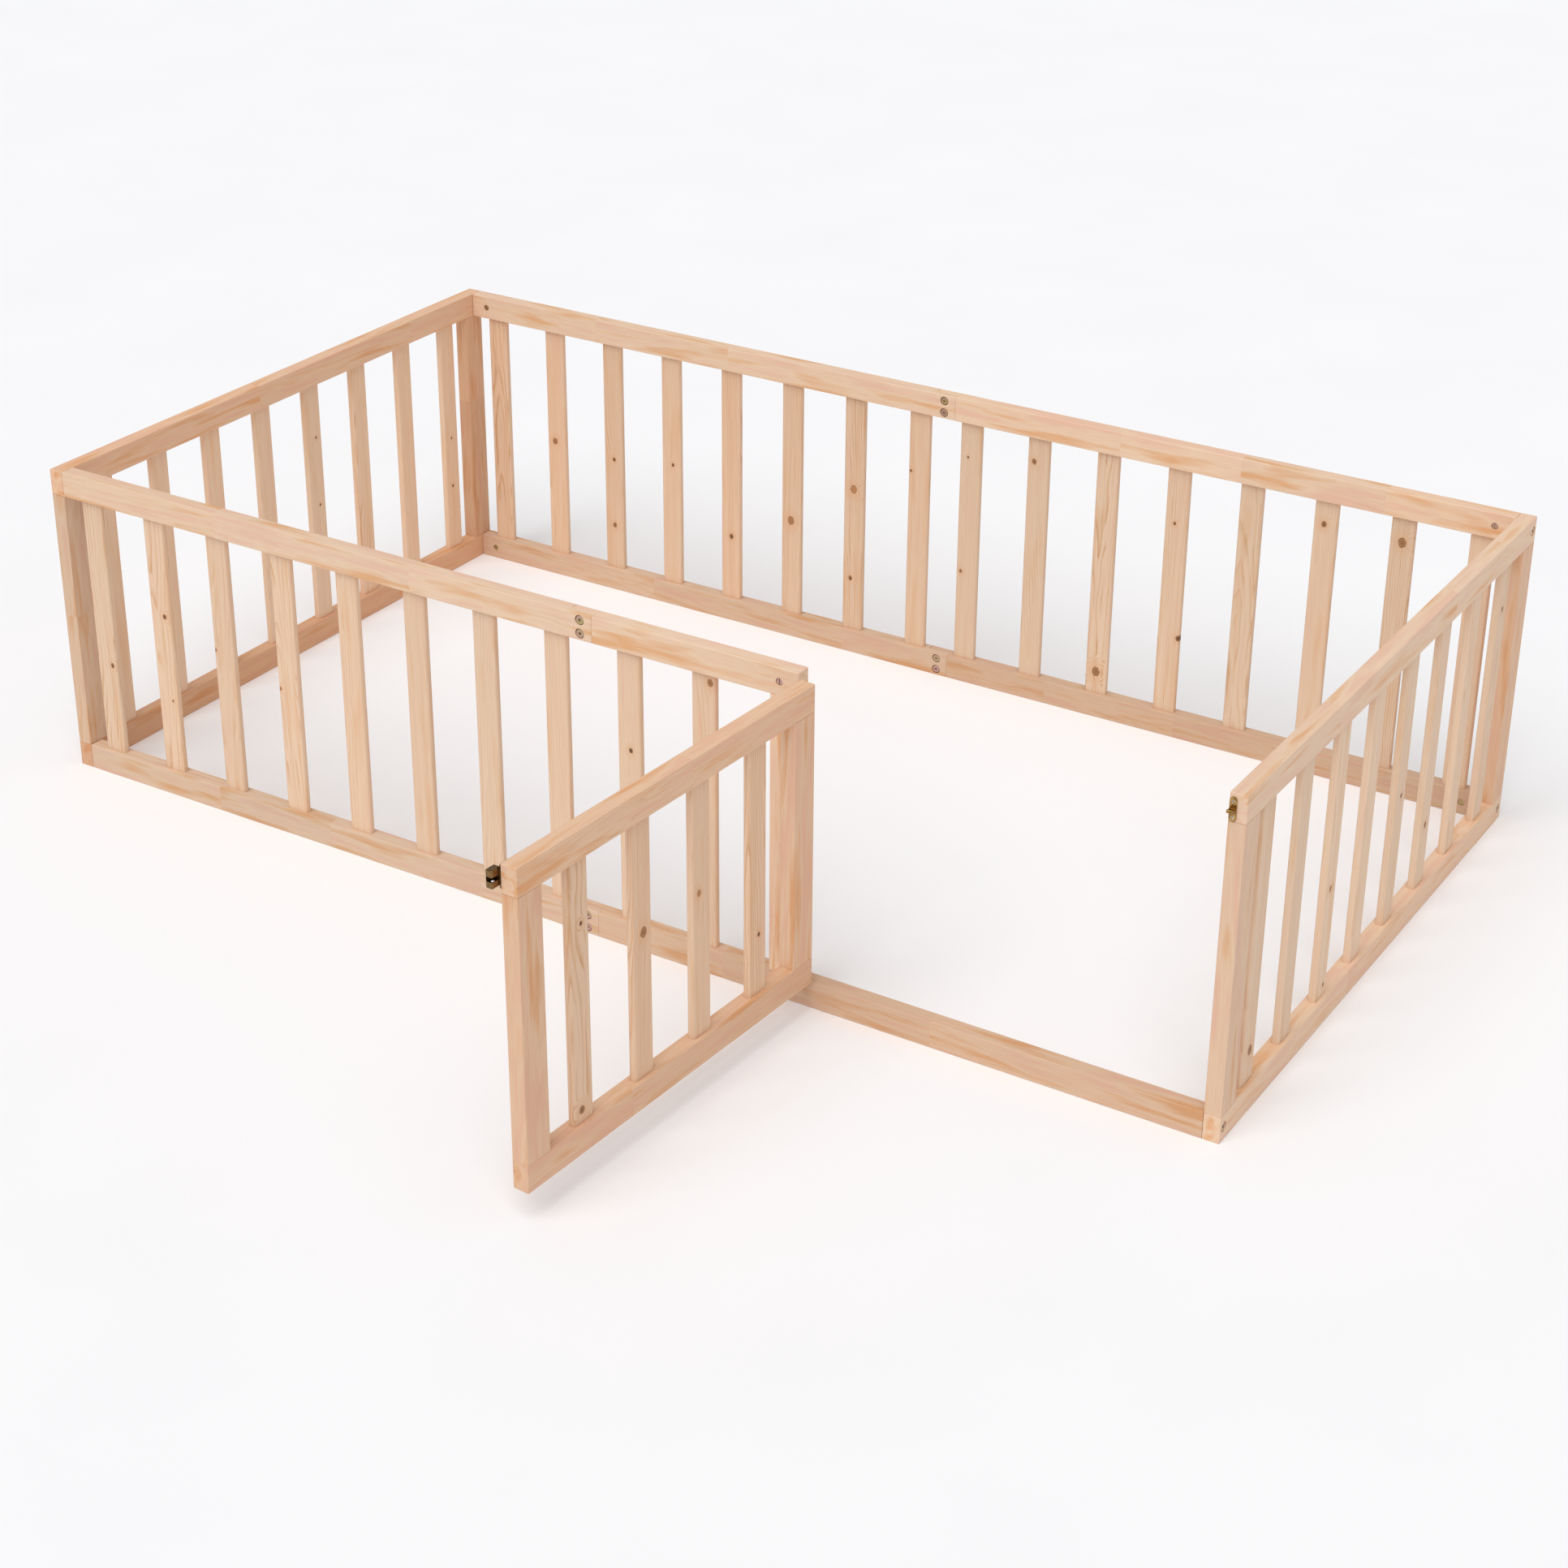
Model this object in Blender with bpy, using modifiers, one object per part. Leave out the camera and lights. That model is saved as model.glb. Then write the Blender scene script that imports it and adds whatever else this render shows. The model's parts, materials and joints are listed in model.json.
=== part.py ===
"""Slatted pine playpen with a hinged door, drawn at rest with the door standing open.

Metres, +Z up, +X along the long side, front towards -Y. The floor is Z = 0, and the origin is under the
middle of the whole object with its door open.
"""

import math

import bmesh
import bpy
from mathutils import Vector

# Driving dimensions of the pen.
LENGTH = 1.960  # outside, along X
WIDTH = 1.040  # outside, along Y
HEIGHT = 0.500
THICK = 0.024  # every rail and stile
RAIL = 0.040  # height of a rail
STILE = 0.044  # width of a stile
SLAT_WIDTH = 0.038
SLAT_THICK = 0.011
SLAT_ROUND = 0.0035  # rounded long edges of a slat
GAP = 0.0003  # between pieces that touch
EDGE = 0.0015  # eased edges of the timber
PAST = 0.010  # how far a cutter runs past the face that it opens
SHORT_PAST = 0.001  # the same in small metalwork
PEN_CENTRE_Y = 0.309  # puts the origin under the middle of the whole, with the door open

# Where the slats stand.
SLAT_PITCH = 0.1229  # in the long panels
SLAT_FROM_END = 0.048  # first slat's centre, from an end panel's inner face
END_PITCH = 0.122  # in the end panels
SLATS_PER_PANEL = 8
SHORT_PANEL_SLATS = (0.074, 0.196)  # X of the two slats beside the doorway
TENON = 0.012  # how far a slat goes into a top rail
SLAT_SEAT = 0.012  # how far it goes into a bottom rail
STILE_TENON = (0.010, 0.024, 0.009)  # across the panel, along it, and deep

# Half-lap joints in the middle of the long rails, and the bolts.
LAP_HALF = 0.020
LAP_BOLT_SPREAD = 0.010
SHANK_R = 0.003
SHANK_HOLE_R = 0.0034
HEAD_R = 0.0065
HEAD_HEIGHT = 0.0042
COUNTERBORE_R = 0.0075
COUNTERBORE_DEEP = 0.0055
SOCKET_R = 0.0029  # hexagon socket, across its corners over two
SOCKET_DEEP = 0.0024
HEAD_CHAMFER = 0.0004
TIP_CLEAR = 0.001  # hole left beyond a corner bolt's tip
NUT_R = 0.006
NUT_HEIGHT = 0.0030
NUT_BORE_R = 0.0070
NUT_BORE_DEEP = 0.0045
BARREL_R = 0.005
BARREL_LENGTH = 0.0140
BARREL_HOLE_R = 0.0053
BARREL_FROM_END = 0.030  # barrel nut's centre, from the end of its rail
BOLT_PAST_BARREL = 0.008
BARREL_SINK = 0.0010
BARREL_SLOT = (0.0012, 0.0010)  # wide, deep
ROUND_STEPS = 12
SCREW_MERGE = 0.00001

# The door and its two butt hinges.
POST_X = 0.349  # the doorway's face of the door post
LEAF_CLEAR = 0.0002  # from a leaf to the plane through the pin
LEAF_THICK = 0.0012
LEAF_HEIGHT = 0.050
LEAF_DEPTH = 0.020
KNUCKLE_R = 0.0035
KNUCKLES = 5
PIN_R = 0.0018
PIN_BORE_R = 0.00187
PIN_FRONT = 0.0045  # pin's axis in front of the pen's front face
PIN_PROUD = 0.001  # pin beyond the knuckles at each end
NECK_START = 0.0022  # where a knuckle's neck begins, from the pin's axis
LEAF_EDGE = 0.0002
HINGE_Z = (0.130, 0.412)
DOOR_LENGTH = 0.600
DOOR_LOW = 0.046
DOOR_HIGH = 0.496
DOOR_OPEN = math.radians(93.3)
DOOR_SLAT_PITCH = 0.122
DOOR_SLATS = 4

# The double ball catch.
CATCH_Z = 0.4775
CATCH_HEIGHT = 0.034
HOUSING_X = (0.949, 0.965)
HOUSING_PLATE_X = 0.934
HOUSING_HEIGHT = 0.025
HOUSING_FRONT = 0.0124
HOUSING_BACK = 0.0025
PLATE_THICK = 0.0012
SLOT_HALF = 0.0031
SLOT_X = 0.9535
SLOT_FRONT = 0.0114
BALL_R = 0.003
BALL_X = 0.960
BALL_FRONT = 0.0054
BALL_OUT = 0.0043  # ball's centre from the middle of the slot
BALL_BORE_R = 0.0032
BALL_BORE_END = 0.0095
STRIKE_X = (0.9568, 0.9668)
STRIKE_THICK = 0.0012
TONGUE_X = (0.957, 0.966)
NECK_HALF = 0.0011
HEAD_HALF = 0.0026  # of the tongue's head, which the balls close behind
HEAD_FRONT = (0.0074, 0.0110)
HEAD_SLOPE = 0.0013
HEAD_BITE = 0.0008  # how far the neck runs into the head
HOUSING_EDGE = 0.0006
STRIKE_EDGE = 0.0003
BRIDGE_INSET = (0.0005, 0.0008)  # of the bridge inside the block, along X and Z
SLOT_PAST = 0.005  # slot's cutter beyond the block's open side

# Derived places.
END_X = LENGTH / 2
INNER_X = END_X - THICK
FRONT_Y = PEN_CENTRE_Y - WIDTH / 2
BACK_Y = PEN_CENTRE_Y + WIDTH / 2
TOP_RAIL_Z = HEIGHT - RAIL
RAIL_MID = RAIL / 2
PIN = Vector((POST_X + LEAF_THICK + LEAF_CLEAR + GAP, FRONT_Y - PIN_FRONT, 0.0))
DOOR_X = PIN.x + LEAF_CLEAR + LEAF_THICK + GAP


def clear_scene():
    for obj in list(bpy.data.objects):
        bpy.data.objects.remove(obj, do_unlink=True)


def new_collection(name):
    collection = bpy.data.collections.new(name)
    bpy.context.scene.collection.children.link(collection)
    return collection


def principled(name, colour, roughness, metallic=0.0):
    material = bpy.data.materials.new(name)
    material.use_nodes = True
    shader = material.node_tree.nodes["Principled BSDF"]
    shader.inputs["Base Color"].default_value = (*colour, 1.0)
    shader.inputs["Roughness"].default_value = roughness
    shader.inputs["Metallic"].default_value = metallic
    return material


clear_scene()
PARTS = new_collection("Playpen")
CUTTERS = new_collection("Cutters")
PINE_RAIL = principled("pine_rail", (0.68, 0.45, 0.27), 0.55)
PINE_SLAT = principled("pine_slat", (0.72, 0.50, 0.31), 0.55)
YELLOW_ZINC = principled("yellow_zinc", (0.62, 0.52, 0.38), 0.35, 1.0)
BRASS = principled("brass_plate", (0.70, 0.55, 0.28), 0.35, 1.0)
STEEL_BALL = principled("steel_ball", (0.80, 0.80, 0.82), 0.15, 1.0)


def place(obj, location, parent=None, helper=False):
    """Puts an object at a world place of the pen with its door shut, under its parent if it has one."""
    obj.location = Vector(location) - (parent.location if parent else Vector())
    obj.parent = parent
    (CUTTERS if helper else PARTS).objects.link(obj)
    if helper:
        obj.hide_render = True
        obj.display_type = "WIRE"
    return obj


def box(mesh, low, high, rounding=0.0, along=2):
    """Adds a box to a bmesh, with the edges along one axis rounded if asked."""
    low, high = Vector(low), Vector(high)
    made = bmesh.ops.create_cube(mesh, size=1.0)["verts"]
    bmesh.ops.scale(mesh, vec=high - low, verts=made)
    bmesh.ops.translate(mesh, vec=(low + high) / 2, verts=made)
    if rounding:
        edges = {
            edge for vert in made for edge in vert.link_edges
            if abs(edge.verts[0].co[along] - edge.verts[1].co[along]) > rounding
        }
        bmesh.ops.bevel(
            mesh, geom=list(edges), offset=rounding, segments=1, profile=0.5, affect="EDGES", material=-1
        )


def finished(name, mesh, material, location, parent, helper):
    """Turns a bmesh built in world places into an object whose origin is at the location."""
    bmesh.ops.translate(mesh, vec=-Vector(location), verts=mesh.verts)
    data = bpy.data.meshes.new(name)
    mesh.to_mesh(data)
    mesh.free()
    if material:
        data.materials.append(material)
    return place(bpy.data.objects.new(name, data), location, parent, helper)


def timber(name, low, high, material=PINE_RAIL, parent=None, bevel=EDGE):
    """One straight piece of wood or plate with eased edges."""
    mesh = bmesh.new()
    box(mesh, low, high)
    obj = finished(name, mesh, material, (Vector(low) + Vector(high)) / 2, parent, False)
    ease = obj.modifiers.new("eased_edges", "BEVEL")
    ease.width = bevel
    ease.segments = 1
    return obj


def helper(name, boxes, parent=None, rounding=0.0, along=2):
    """A hidden set of boxes that do not touch each other, to join to a piece or to cut from it."""
    mesh = bmesh.new()
    for low, high in boxes:
        box(mesh, low, high, rounding, along)
    return finished(name, mesh, None, boxes[0][0], parent, True)


def combine(obj, other, operation="DIFFERENCE"):
    step = obj.modifiers.new(f"{operation.lower()}_{other.name}", "BOOLEAN")
    step.operation = operation
    step.object = other
    return obj


def turned(name, profile, location, direction, material=None, parent=None, steps=ROUND_STEPS):
    """A turned piece, or a cutter if it has no material. The profile is (radius, height) down its outside."""
    mesh = bmesh.new()
    verts = [mesh.verts.new((radius, 0.0, height)) for radius, height in profile]
    for first, second in zip(verts, verts[1:]):
        mesh.edges.new((first, second))
    data = bpy.data.meshes.new(name)
    mesh.to_mesh(data)
    mesh.free()
    if material:
        data.materials.append(material)
    obj = bpy.data.objects.new(name, data)
    turn = obj.modifiers.new("turn", "SCREW")
    turn.steps = turn.render_steps = steps
    turn.use_merge_vertices = True
    turn.merge_threshold = SCREW_MERGE
    turn.use_smooth_shade = False
    obj.rotation_mode = "QUATERNION"
    obj.rotation_quaternion = Vector((0, 0, 1)).rotation_difference(Vector(direction))
    return place(obj, location, parent, helper=material is None)


def rod_profile(radius, high, low=0.0):
    return [(0, high), (radius, high), (radius, low), (0, low)]


def ball_profile(radius, bands=10):
    turns = [math.pi * band / bands for band in range(bands + 1)]
    return [(radius * math.sin(turn), radius * math.cos(turn)) for turn in turns]


def slat_box(x, y, along_y, low, high, grow=0.0):
    """The box of one slat standing at a place, its width along X, or along Y in an end panel."""
    wide, thick = SLAT_WIDTH / 2 + grow, SLAT_THICK / 2 + grow
    half = Vector((thick, wide, 0)) if along_y else Vector((wide, thick, 0))
    centre = Vector((x, y, 0))
    return centre - half + Vector((0, 0, low)), centre + half + Vector((0, 0, high))


def tenon_box(x, y, along_y, low, high, grow=0.0):
    across, along = STILE_TENON[0] / 2 + grow, STILE_TENON[1] / 2 + grow
    half = Vector((across, along, 0)) if along_y else Vector((along, across, 0))
    centre = Vector((x, y, 0))
    return centre - half + Vector((0, 0, low)), centre + half + Vector((0, 0, high))


def loose_slats(name, places, low, high, parent):
    """Slats that are pieces of their own, numbered from the left."""
    for number, (x, y) in enumerate(places, 1):
        mesh = bmesh.new()
        box(mesh, *slat_box(x, y, False, low, high), rounding=SLAT_ROUND)
        finished(f"{name}_{number}", mesh, PINE_SLAT, (x, y, (low + high) / 2), parent, False)


def slatted_panel(name, rail_low, rail_high, slats, along_y, stiles=()):
    """A top rail and a ladder, which is a bottom rail with its slats glued in. Returns both."""
    (low_x, low_y), (high_x, high_y) = rail_low, rail_high
    top = timber(f"{name}_top_rail", (low_x, low_y, TOP_RAIL_Z), (high_x, high_y, HEIGHT))
    ladder = timber(f"{name}_ladder", (low_x, low_y, 0), (high_x, high_y, RAIL))
    standing = [slat_box(x, y, along_y, RAIL - SLAT_SEAT, TOP_RAIL_Z + TENON) for x, y in slats]
    combine(ladder, helper(f"{name}_slats", standing, rounding=SLAT_ROUND), "UNION")
    slots = [slat_box(x, y, along_y, TOP_RAIL_Z - PAST, TOP_RAIL_Z + TENON + GAP, GAP) for x, y in slats]
    combine(top, helper(f"{name}_slat_mortises", slots, rounding=SLAT_ROUND))
    deep = STILE_TENON[2] + GAP
    if stiles:
        upper = [tenon_box(x, y, along_y, TOP_RAIL_Z - PAST, TOP_RAIL_Z + deep, GAP) for x, y in stiles]
        lower = [tenon_box(x, y, along_y, RAIL - deep, RAIL + PAST, GAP) for x, y in stiles]
        combine(top, helper(f"{name}_upper_tenon_mortises", upper))
        combine(ladder, helper(f"{name}_lower_tenon_mortises", lower))
    return top, ladder


def stile(name, centre, along_y, low, high, parent=None):
    """An upright between two rails, with a stub tenon at each end."""
    wide, thick = STILE / 2, THICK / 2
    half = Vector((thick, wide, 0)) if along_y else Vector((wide, thick, 0))
    middle = Vector((*centre, 0))
    corners = middle - half + Vector((0, 0, low + GAP)), middle + half + Vector((0, 0, high - GAP))
    obj = timber(name, *corners, parent=parent)
    tongue = tenon_box(*centre, along_y, low - STILE_TENON[2], high + STILE_TENON[2])
    return combine(obj, helper(f"{name}_tenon", [tongue], parent), "UNION")


def end_panel(side, sign):
    """Top rail, ladder and two stiles, all running along Y. The stiles stand flush with the rails' ends."""
    inner, outer = sorted((sign * INNER_X, sign * END_X))
    x = (inner + outer) / 2
    first = PEN_CENTRE_Y - END_PITCH * (SLATS_PER_PANEL - 1) / 2
    slats = [(x, first + END_PITCH * i) for i in range(SLATS_PER_PANEL)]
    stiles = [(x, FRONT_Y + STILE / 2), (x, BACK_Y - STILE / 2)]
    name = f"{side}_end"
    top, ladder = slatted_panel(name, (inner, FRONT_Y), (outer, BACK_Y), slats, True, stiles)
    stile(f"{name}_front_stile", stiles[0], True, RAIL, TOP_RAIL_Z)
    stile(f"{name}_back_stile", stiles[1], True, RAIL, TOP_RAIL_Z)
    return top, ladder


def cut_lap(rail, name, sign, low_y, z):
    """Halves a long rail's middle end: the left rail keeps its front half, the right rail its rear half."""
    middle = low_y + THICK / 2
    if sign < 0:
        near, far = middle - GAP / 2, low_y + THICK + PAST
    else:
        near, far = low_y - PAST, middle + GAP / 2
    shoulder, past_tip = sign * (LAP_HALF + GAP / 2), -sign * (LAP_HALF + PAST)
    start, end = min(shoulder, past_tip), max(shoulder, past_tip)
    waste = [((start, near, z - PAST), (end, far, z + RAIL + PAST))]
    return combine(rail, helper(f"{name}_lap_cutter", waste))


def lap_reach(sign):
    """Where a long rail's tongue ends, past the middle of the pen."""
    return -sign * (LAP_HALF - GAP / 2)


def long_rail_span(sign):
    start, tip = sign * (INNER_X - GAP), lap_reach(sign)
    return min(start, tip), max(start, tip)


def long_panel(name, sign, low_y):
    """One fully slatted half of a long side."""
    start, end = long_rail_span(sign)
    y = low_y + THICK / 2
    slats = [(sign * (INNER_X - SLAT_FROM_END - SLAT_PITCH * i), y) for i in range(SLATS_PER_PANEL)]
    top, ladder = slatted_panel(name, (start, low_y), (end, low_y + THICK), slats, False)
    cut_lap(top, f"{name}_top", sign, low_y, TOP_RAIL_Z)
    cut_lap(ladder, f"{name}_bottom", sign, low_y, 0)
    return top, ladder


def doorway_panel():
    """The right half of the front: short top rail, long bottom rail, door post and two loose slats."""
    y = FRONT_Y + THICK / 2
    tip = lap_reach(1)
    back = FRONT_Y + THICK
    top = timber("front_right_top_rail", (tip, FRONT_Y, TOP_RAIL_Z), (POST_X, back, HEIGHT))
    bottom = timber("front_right_bottom_rail", (tip, FRONT_Y, 0), (INNER_X - GAP, back, RAIL))
    places = [(x, y) for x in SHORT_PANEL_SLATS]
    low, high = RAIL - SLAT_SEAT, TOP_RAIL_Z + TENON
    loose_slats("front_right_slat", places, low, high, None)
    upper = [slat_box(x, y, False, TOP_RAIL_Z - PAST, high + GAP, GAP) for x, y in places]
    lower = [slat_box(x, y, False, low - GAP, RAIL + PAST, GAP) for x, y in places]
    post = (POST_X - STILE / 2, y)
    deep = STILE_TENON[2] + GAP
    combine(top, helper("front_right_upper_slat_mortises", upper, rounding=SLAT_ROUND))
    combine(bottom, helper("front_right_lower_slat_mortises", lower, rounding=SLAT_ROUND))
    upper_tenon = tenon_box(*post, False, TOP_RAIL_Z - PAST, TOP_RAIL_Z + deep, GAP)
    lower_tenon = tenon_box(*post, False, RAIL - deep, RAIL + PAST, GAP)
    combine(top, helper("front_right_upper_tenon_mortise", [upper_tenon]))
    combine(bottom, helper("front_right_lower_tenon_mortise", [lower_tenon]))
    stile("front_door_post", post, False, RAIL, TOP_RAIL_Z)
    cut_lap(top, "front_right_top", 1, FRONT_Y, TOP_RAIL_Z)
    cut_lap(bottom, "front_right_bottom", 1, FRONT_Y, 0)
    return top, bottom


def socket_head(bolt, name, location, direction):
    """Cuts the hexagon socket into a bolt's head. The location is the middle of the head's face."""
    profile = rod_profile(SOCKET_R, SHORT_PAST, -SOCKET_DEEP)
    return combine(bolt, turned(f"{name}_socket", profile, location, direction, steps=6))


def lap_bolt(name, z, low_y, rails):
    """A socket-head bolt and its sleeve nut through both halves of a lap, heads towards -Y."""
    outward = (0, -1, 0)
    sunk = COUNTERBORE_DEEP - GAP - HEAD_HEIGHT
    head = (0, low_y + sunk, z)
    nut_face = THICK - sunk - NUT_BORE_DEEP + GAP
    profile = [
        (0, 0), (HEAD_R - HEAD_CHAMFER, 0), (HEAD_R, -HEAD_CHAMFER), (HEAD_R, -HEAD_HEIGHT),
        (SHANK_R, -HEAD_HEIGHT), (SHANK_R, -nut_face), (NUT_R, -nut_face),
        (NUT_R, -nut_face - NUT_HEIGHT), (0, -nut_face - NUT_HEIGHT),
    ]
    bolt = turned(name, profile, head, outward, YELLOW_ZINC)
    socket_head(bolt, name, head, outward)
    hole = [
        (0, PAST), (COUNTERBORE_R, PAST), (COUNTERBORE_R, -COUNTERBORE_DEEP),
        (SHANK_HOLE_R, -COUNTERBORE_DEEP), (SHANK_HOLE_R, NUT_BORE_DEEP - THICK),
        (NUT_BORE_R, NUT_BORE_DEEP - THICK), (NUT_BORE_R, -THICK - PAST), (0, -THICK - PAST),
    ]
    cutter = turned(f"{name}_hole", hole, (0, low_y, z), outward)
    for rail in rails:
        combine(rail, cutter)


def barrel_nut(name, x, z, face_y, inward, rail):
    """A barrel nut in a hole from the rail's face, with a screwdriver slot and the bolt's hole across it."""
    outward = (0, -inward, 0)
    nut = turned(name, rod_profile(BARREL_R, 0, -BARREL_LENGTH), (x, face_y + inward * BARREL_SINK, z),
                 outward, YELLOW_ZINC)
    wide, deep = BARREL_SLOT
    slot = Vector((wide / 2, deep, 2 * BARREL_R))
    middle = Vector((x, face_y + inward * BARREL_SINK, z))
    combine(nut, helper(f"{name}_slot", [(middle - slot, middle + slot)]))
    across = (x - 2 * BARREL_R, face_y + inward * THICK / 2, z)
    combine(nut, turned(f"{name}_bore", rod_profile(SHANK_HOLE_R, 4 * BARREL_R), across, (1, 0, 0)))
    hole = rod_profile(BARREL_HOLE_R, PAST, -BARREL_SINK - BARREL_LENGTH - GAP)
    combine(rail, turned(f"{name}_hole", hole, (x, face_y, z), outward))


def corner_bolt(name, sign, y, z, end_rail, long_rail):
    """A socket-head bolt from an end panel's outer face into the end of a long rail."""
    outward = (sign, 0, 0)
    sunk = COUNTERBORE_DEEP - GAP - HEAD_HEIGHT
    length = THICK + GAP + BARREL_FROM_END + BOLT_PAST_BARREL - sunk
    profile = [
        (0, 0), (HEAD_R - HEAD_CHAMFER, 0), (HEAD_R, -HEAD_CHAMFER), (HEAD_R, -HEAD_HEIGHT),
        (SHANK_R, -HEAD_HEIGHT), (SHANK_R, -length), (0, -length),
    ]
    head = (sign * (END_X - sunk), y, z)
    bolt = turned(name, profile, head, outward, YELLOW_ZINC)
    socket_head(bolt, name, head, outward)
    hole_end = -sunk - length - TIP_CLEAR
    hole = [
        (0, PAST), (COUNTERBORE_R, PAST), (COUNTERBORE_R, -COUNTERBORE_DEEP),
        (SHANK_HOLE_R, -COUNTERBORE_DEEP), (SHANK_HOLE_R, hole_end), (0, hole_end),
    ]
    cutter = turned(f"{name}_hole", hole, (sign * END_X, y, z), outward)
    combine(end_rail, cutter)
    combine(long_rail, cutter)


def hinge_knuckles(name, centre_z, first, parent):
    """Every other knuckle of a hinge: three for the leaf on the post, two for the leaf on the door."""
    pitch = LEAF_HEIGHT / KNUCKLES
    made = []
    for number in range(first, KNUCKLES, 2):
        low = centre_z - LEAF_HEIGHT / 2 + pitch * number + GAP / 2
        profile = rod_profile(KNUCKLE_R, pitch - GAP)
        foot = (PIN.x, PIN.y, low)
        made.append(turned(f"{name}_knuckle_{number}", profile, foot, (0, 0, 1), parent=parent))
    return made


def hinge_leaf(name, centre_z, side, first, parent):
    """A flat leaf beside the plane through the pin, with a neck to each of its knuckles."""
    near, far = sorted((PIN.x + side * LEAF_CLEAR, PIN.x + side * (LEAF_CLEAR + LEAF_THICK)))
    low, high = centre_z - LEAF_HEIGHT / 2, centre_z + LEAF_HEIGHT / 2
    start = PIN.y + KNUCKLE_R + GAP
    leaf = timber(name, (near, start, low), (far, PIN.y + LEAF_DEPTH, high), BRASS, parent, LEAF_EDGE)
    pitch = LEAF_HEIGHT / KNUCKLES
    necks = []
    for number in range(first, KNUCKLES, 2):
        base = low + pitch * number + GAP / 2
        necks.append(((near, PIN.y + NECK_START, base), (far, start + SHORT_PAST, base + pitch - GAP)))
    combine(leaf, helper(f"{name}_necks", necks, parent), "UNION")
    for knuckle in hinge_knuckles(name, centre_z, first, parent):
        combine(leaf, knuckle, "UNION")
    return leaf


def hinge(label, centre_z, door_axis):
    """A butt hinge: the leaf on the post carries the pin, and the leaf on the door turns on it."""
    fixed = hinge_leaf(f"{label}_hinge_post_leaf", centre_z, -1, 0, None)
    moving = hinge_leaf(f"{label}_hinge_door_leaf", centre_z, 1, 1, door_axis)
    foot = (PIN.x, PIN.y, centre_z - LEAF_HEIGHT / 2 - PIN_PROUD)
    length = LEAF_HEIGHT + 2 * PIN_PROUD
    pin = turned(f"{label}_hinge_pin", rod_profile(PIN_R, length), foot, (0, 0, 1))
    combine(fixed, pin, "UNION")
    bore = turned(f"{label}_hinge_bore", rod_profile(PIN_BORE_R, length), foot, (0, 0, 1), parent=door_axis)
    combine(moving, bore)


def door(axis):
    """The door's frame and slats, laid out shut and turned with the empty on the hinge axis."""
    y = FRONT_Y + THICK / 2
    left, right = DOOR_X, DOOR_X + DOOR_LENGTH
    back = FRONT_Y + THICK
    low, high = DOOR_LOW + RAIL, DOOR_HIGH - RAIL
    bottom = timber("door_bottom_rail", (left, FRONT_Y, DOOR_LOW), (right, back, low), parent=axis)
    top = timber("door_top_rail", (left, FRONT_Y, high), (right, back, DOOR_HIGH), parent=axis)
    middle = (left + right) / 2
    spread = DOOR_SLAT_PITCH * (DOOR_SLATS - 1) / 2
    places = [(middle - spread + DOOR_SLAT_PITCH * i, y) for i in range(DOOR_SLATS)]
    loose_slats("door_slat", places, low - SLAT_SEAT, high + TENON, axis)
    stiles = {"door_hinge_stile": (left + STILE / 2, y), "door_latch_stile": (right - STILE / 2, y)}
    for name, centre in stiles.items():
        stile(name, centre, False, low, high, axis)
    deep = STILE_TENON[2] + GAP
    upper = [slat_box(x, y, False, high - PAST, high + TENON + GAP, GAP) for x, y in places]
    lower = [slat_box(x, y, False, low - SLAT_SEAT - GAP, low + PAST, GAP) for x, y in places]
    upper_tenons = [tenon_box(*centre, False, high - PAST, high + deep, GAP) for centre in stiles.values()]
    lower_tenons = [tenon_box(*centre, False, low - deep, low + PAST, GAP) for centre in stiles.values()]
    combine(top, helper("door_upper_slat_mortises", upper, axis, SLAT_ROUND))
    combine(bottom, helper("door_lower_slat_mortises", lower, axis, SLAT_ROUND))
    combine(top, helper("door_upper_tenon_mortises", upper_tenons, axis))
    combine(bottom, helper("door_lower_tenon_mortises", lower_tenons, axis))


def catch_housing(axis):
    """A forked block past the door's free edge, on a plate on the door's front face."""
    low, high = CATCH_Z - HOUSING_HEIGHT / 2, CATCH_Z + HOUSING_HEIGHT / 2
    block = timber(
        "catch_housing",
        (HOUSING_X[0], FRONT_Y - HOUSING_FRONT, low), (HOUSING_X[1], FRONT_Y - HOUSING_BACK, high),
        BRASS, axis, HOUSING_EDGE,
    )
    door_edge = DOOR_X + DOOR_LENGTH
    foot, head = CATCH_Z - CATCH_HEIGHT / 2, CATCH_Z + CATCH_HEIGHT / 2
    plate = [
        ((HOUSING_PLATE_X, FRONT_Y - GAP - PLATE_THICK, foot), (door_edge, FRONT_Y - GAP, head)),
    ]
    bridge = [
        ((HOUSING_X[0] + BRIDGE_INSET[0], FRONT_Y - HOUSING_BACK - SHORT_PAST, low + BRIDGE_INSET[1]),
         (door_edge - GAP, FRONT_Y - GAP - PLATE_THICK / 2, high - BRIDGE_INSET[1])),
    ]
    combine(block, helper("catch_housing_plate", plate, axis), "UNION")
    combine(block, helper("catch_housing_bridge", bridge, axis), "UNION")
    slot = [
        ((SLOT_X, FRONT_Y - SLOT_FRONT, CATCH_Z - SLOT_HALF),
         (HOUSING_X[1] + SLOT_PAST, FRONT_Y - HOUSING_BACK + SHORT_PAST, CATCH_Z + SLOT_HALF)),
    ]
    combine(block, helper("catch_housing_slot", slot, axis))
    centre = (BALL_X, FRONT_Y - BALL_FRONT, CATCH_Z)
    for label, sign in (("upper", 1), ("lower", -1)):
        bore = turned(
            f"catch_{label}_bore", rod_profile(BALL_BORE_R, BALL_BORE_END, SLOT_HALF / 2),
            centre, (0, 0, sign), parent=axis,
        )
        combine(block, bore)


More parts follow.
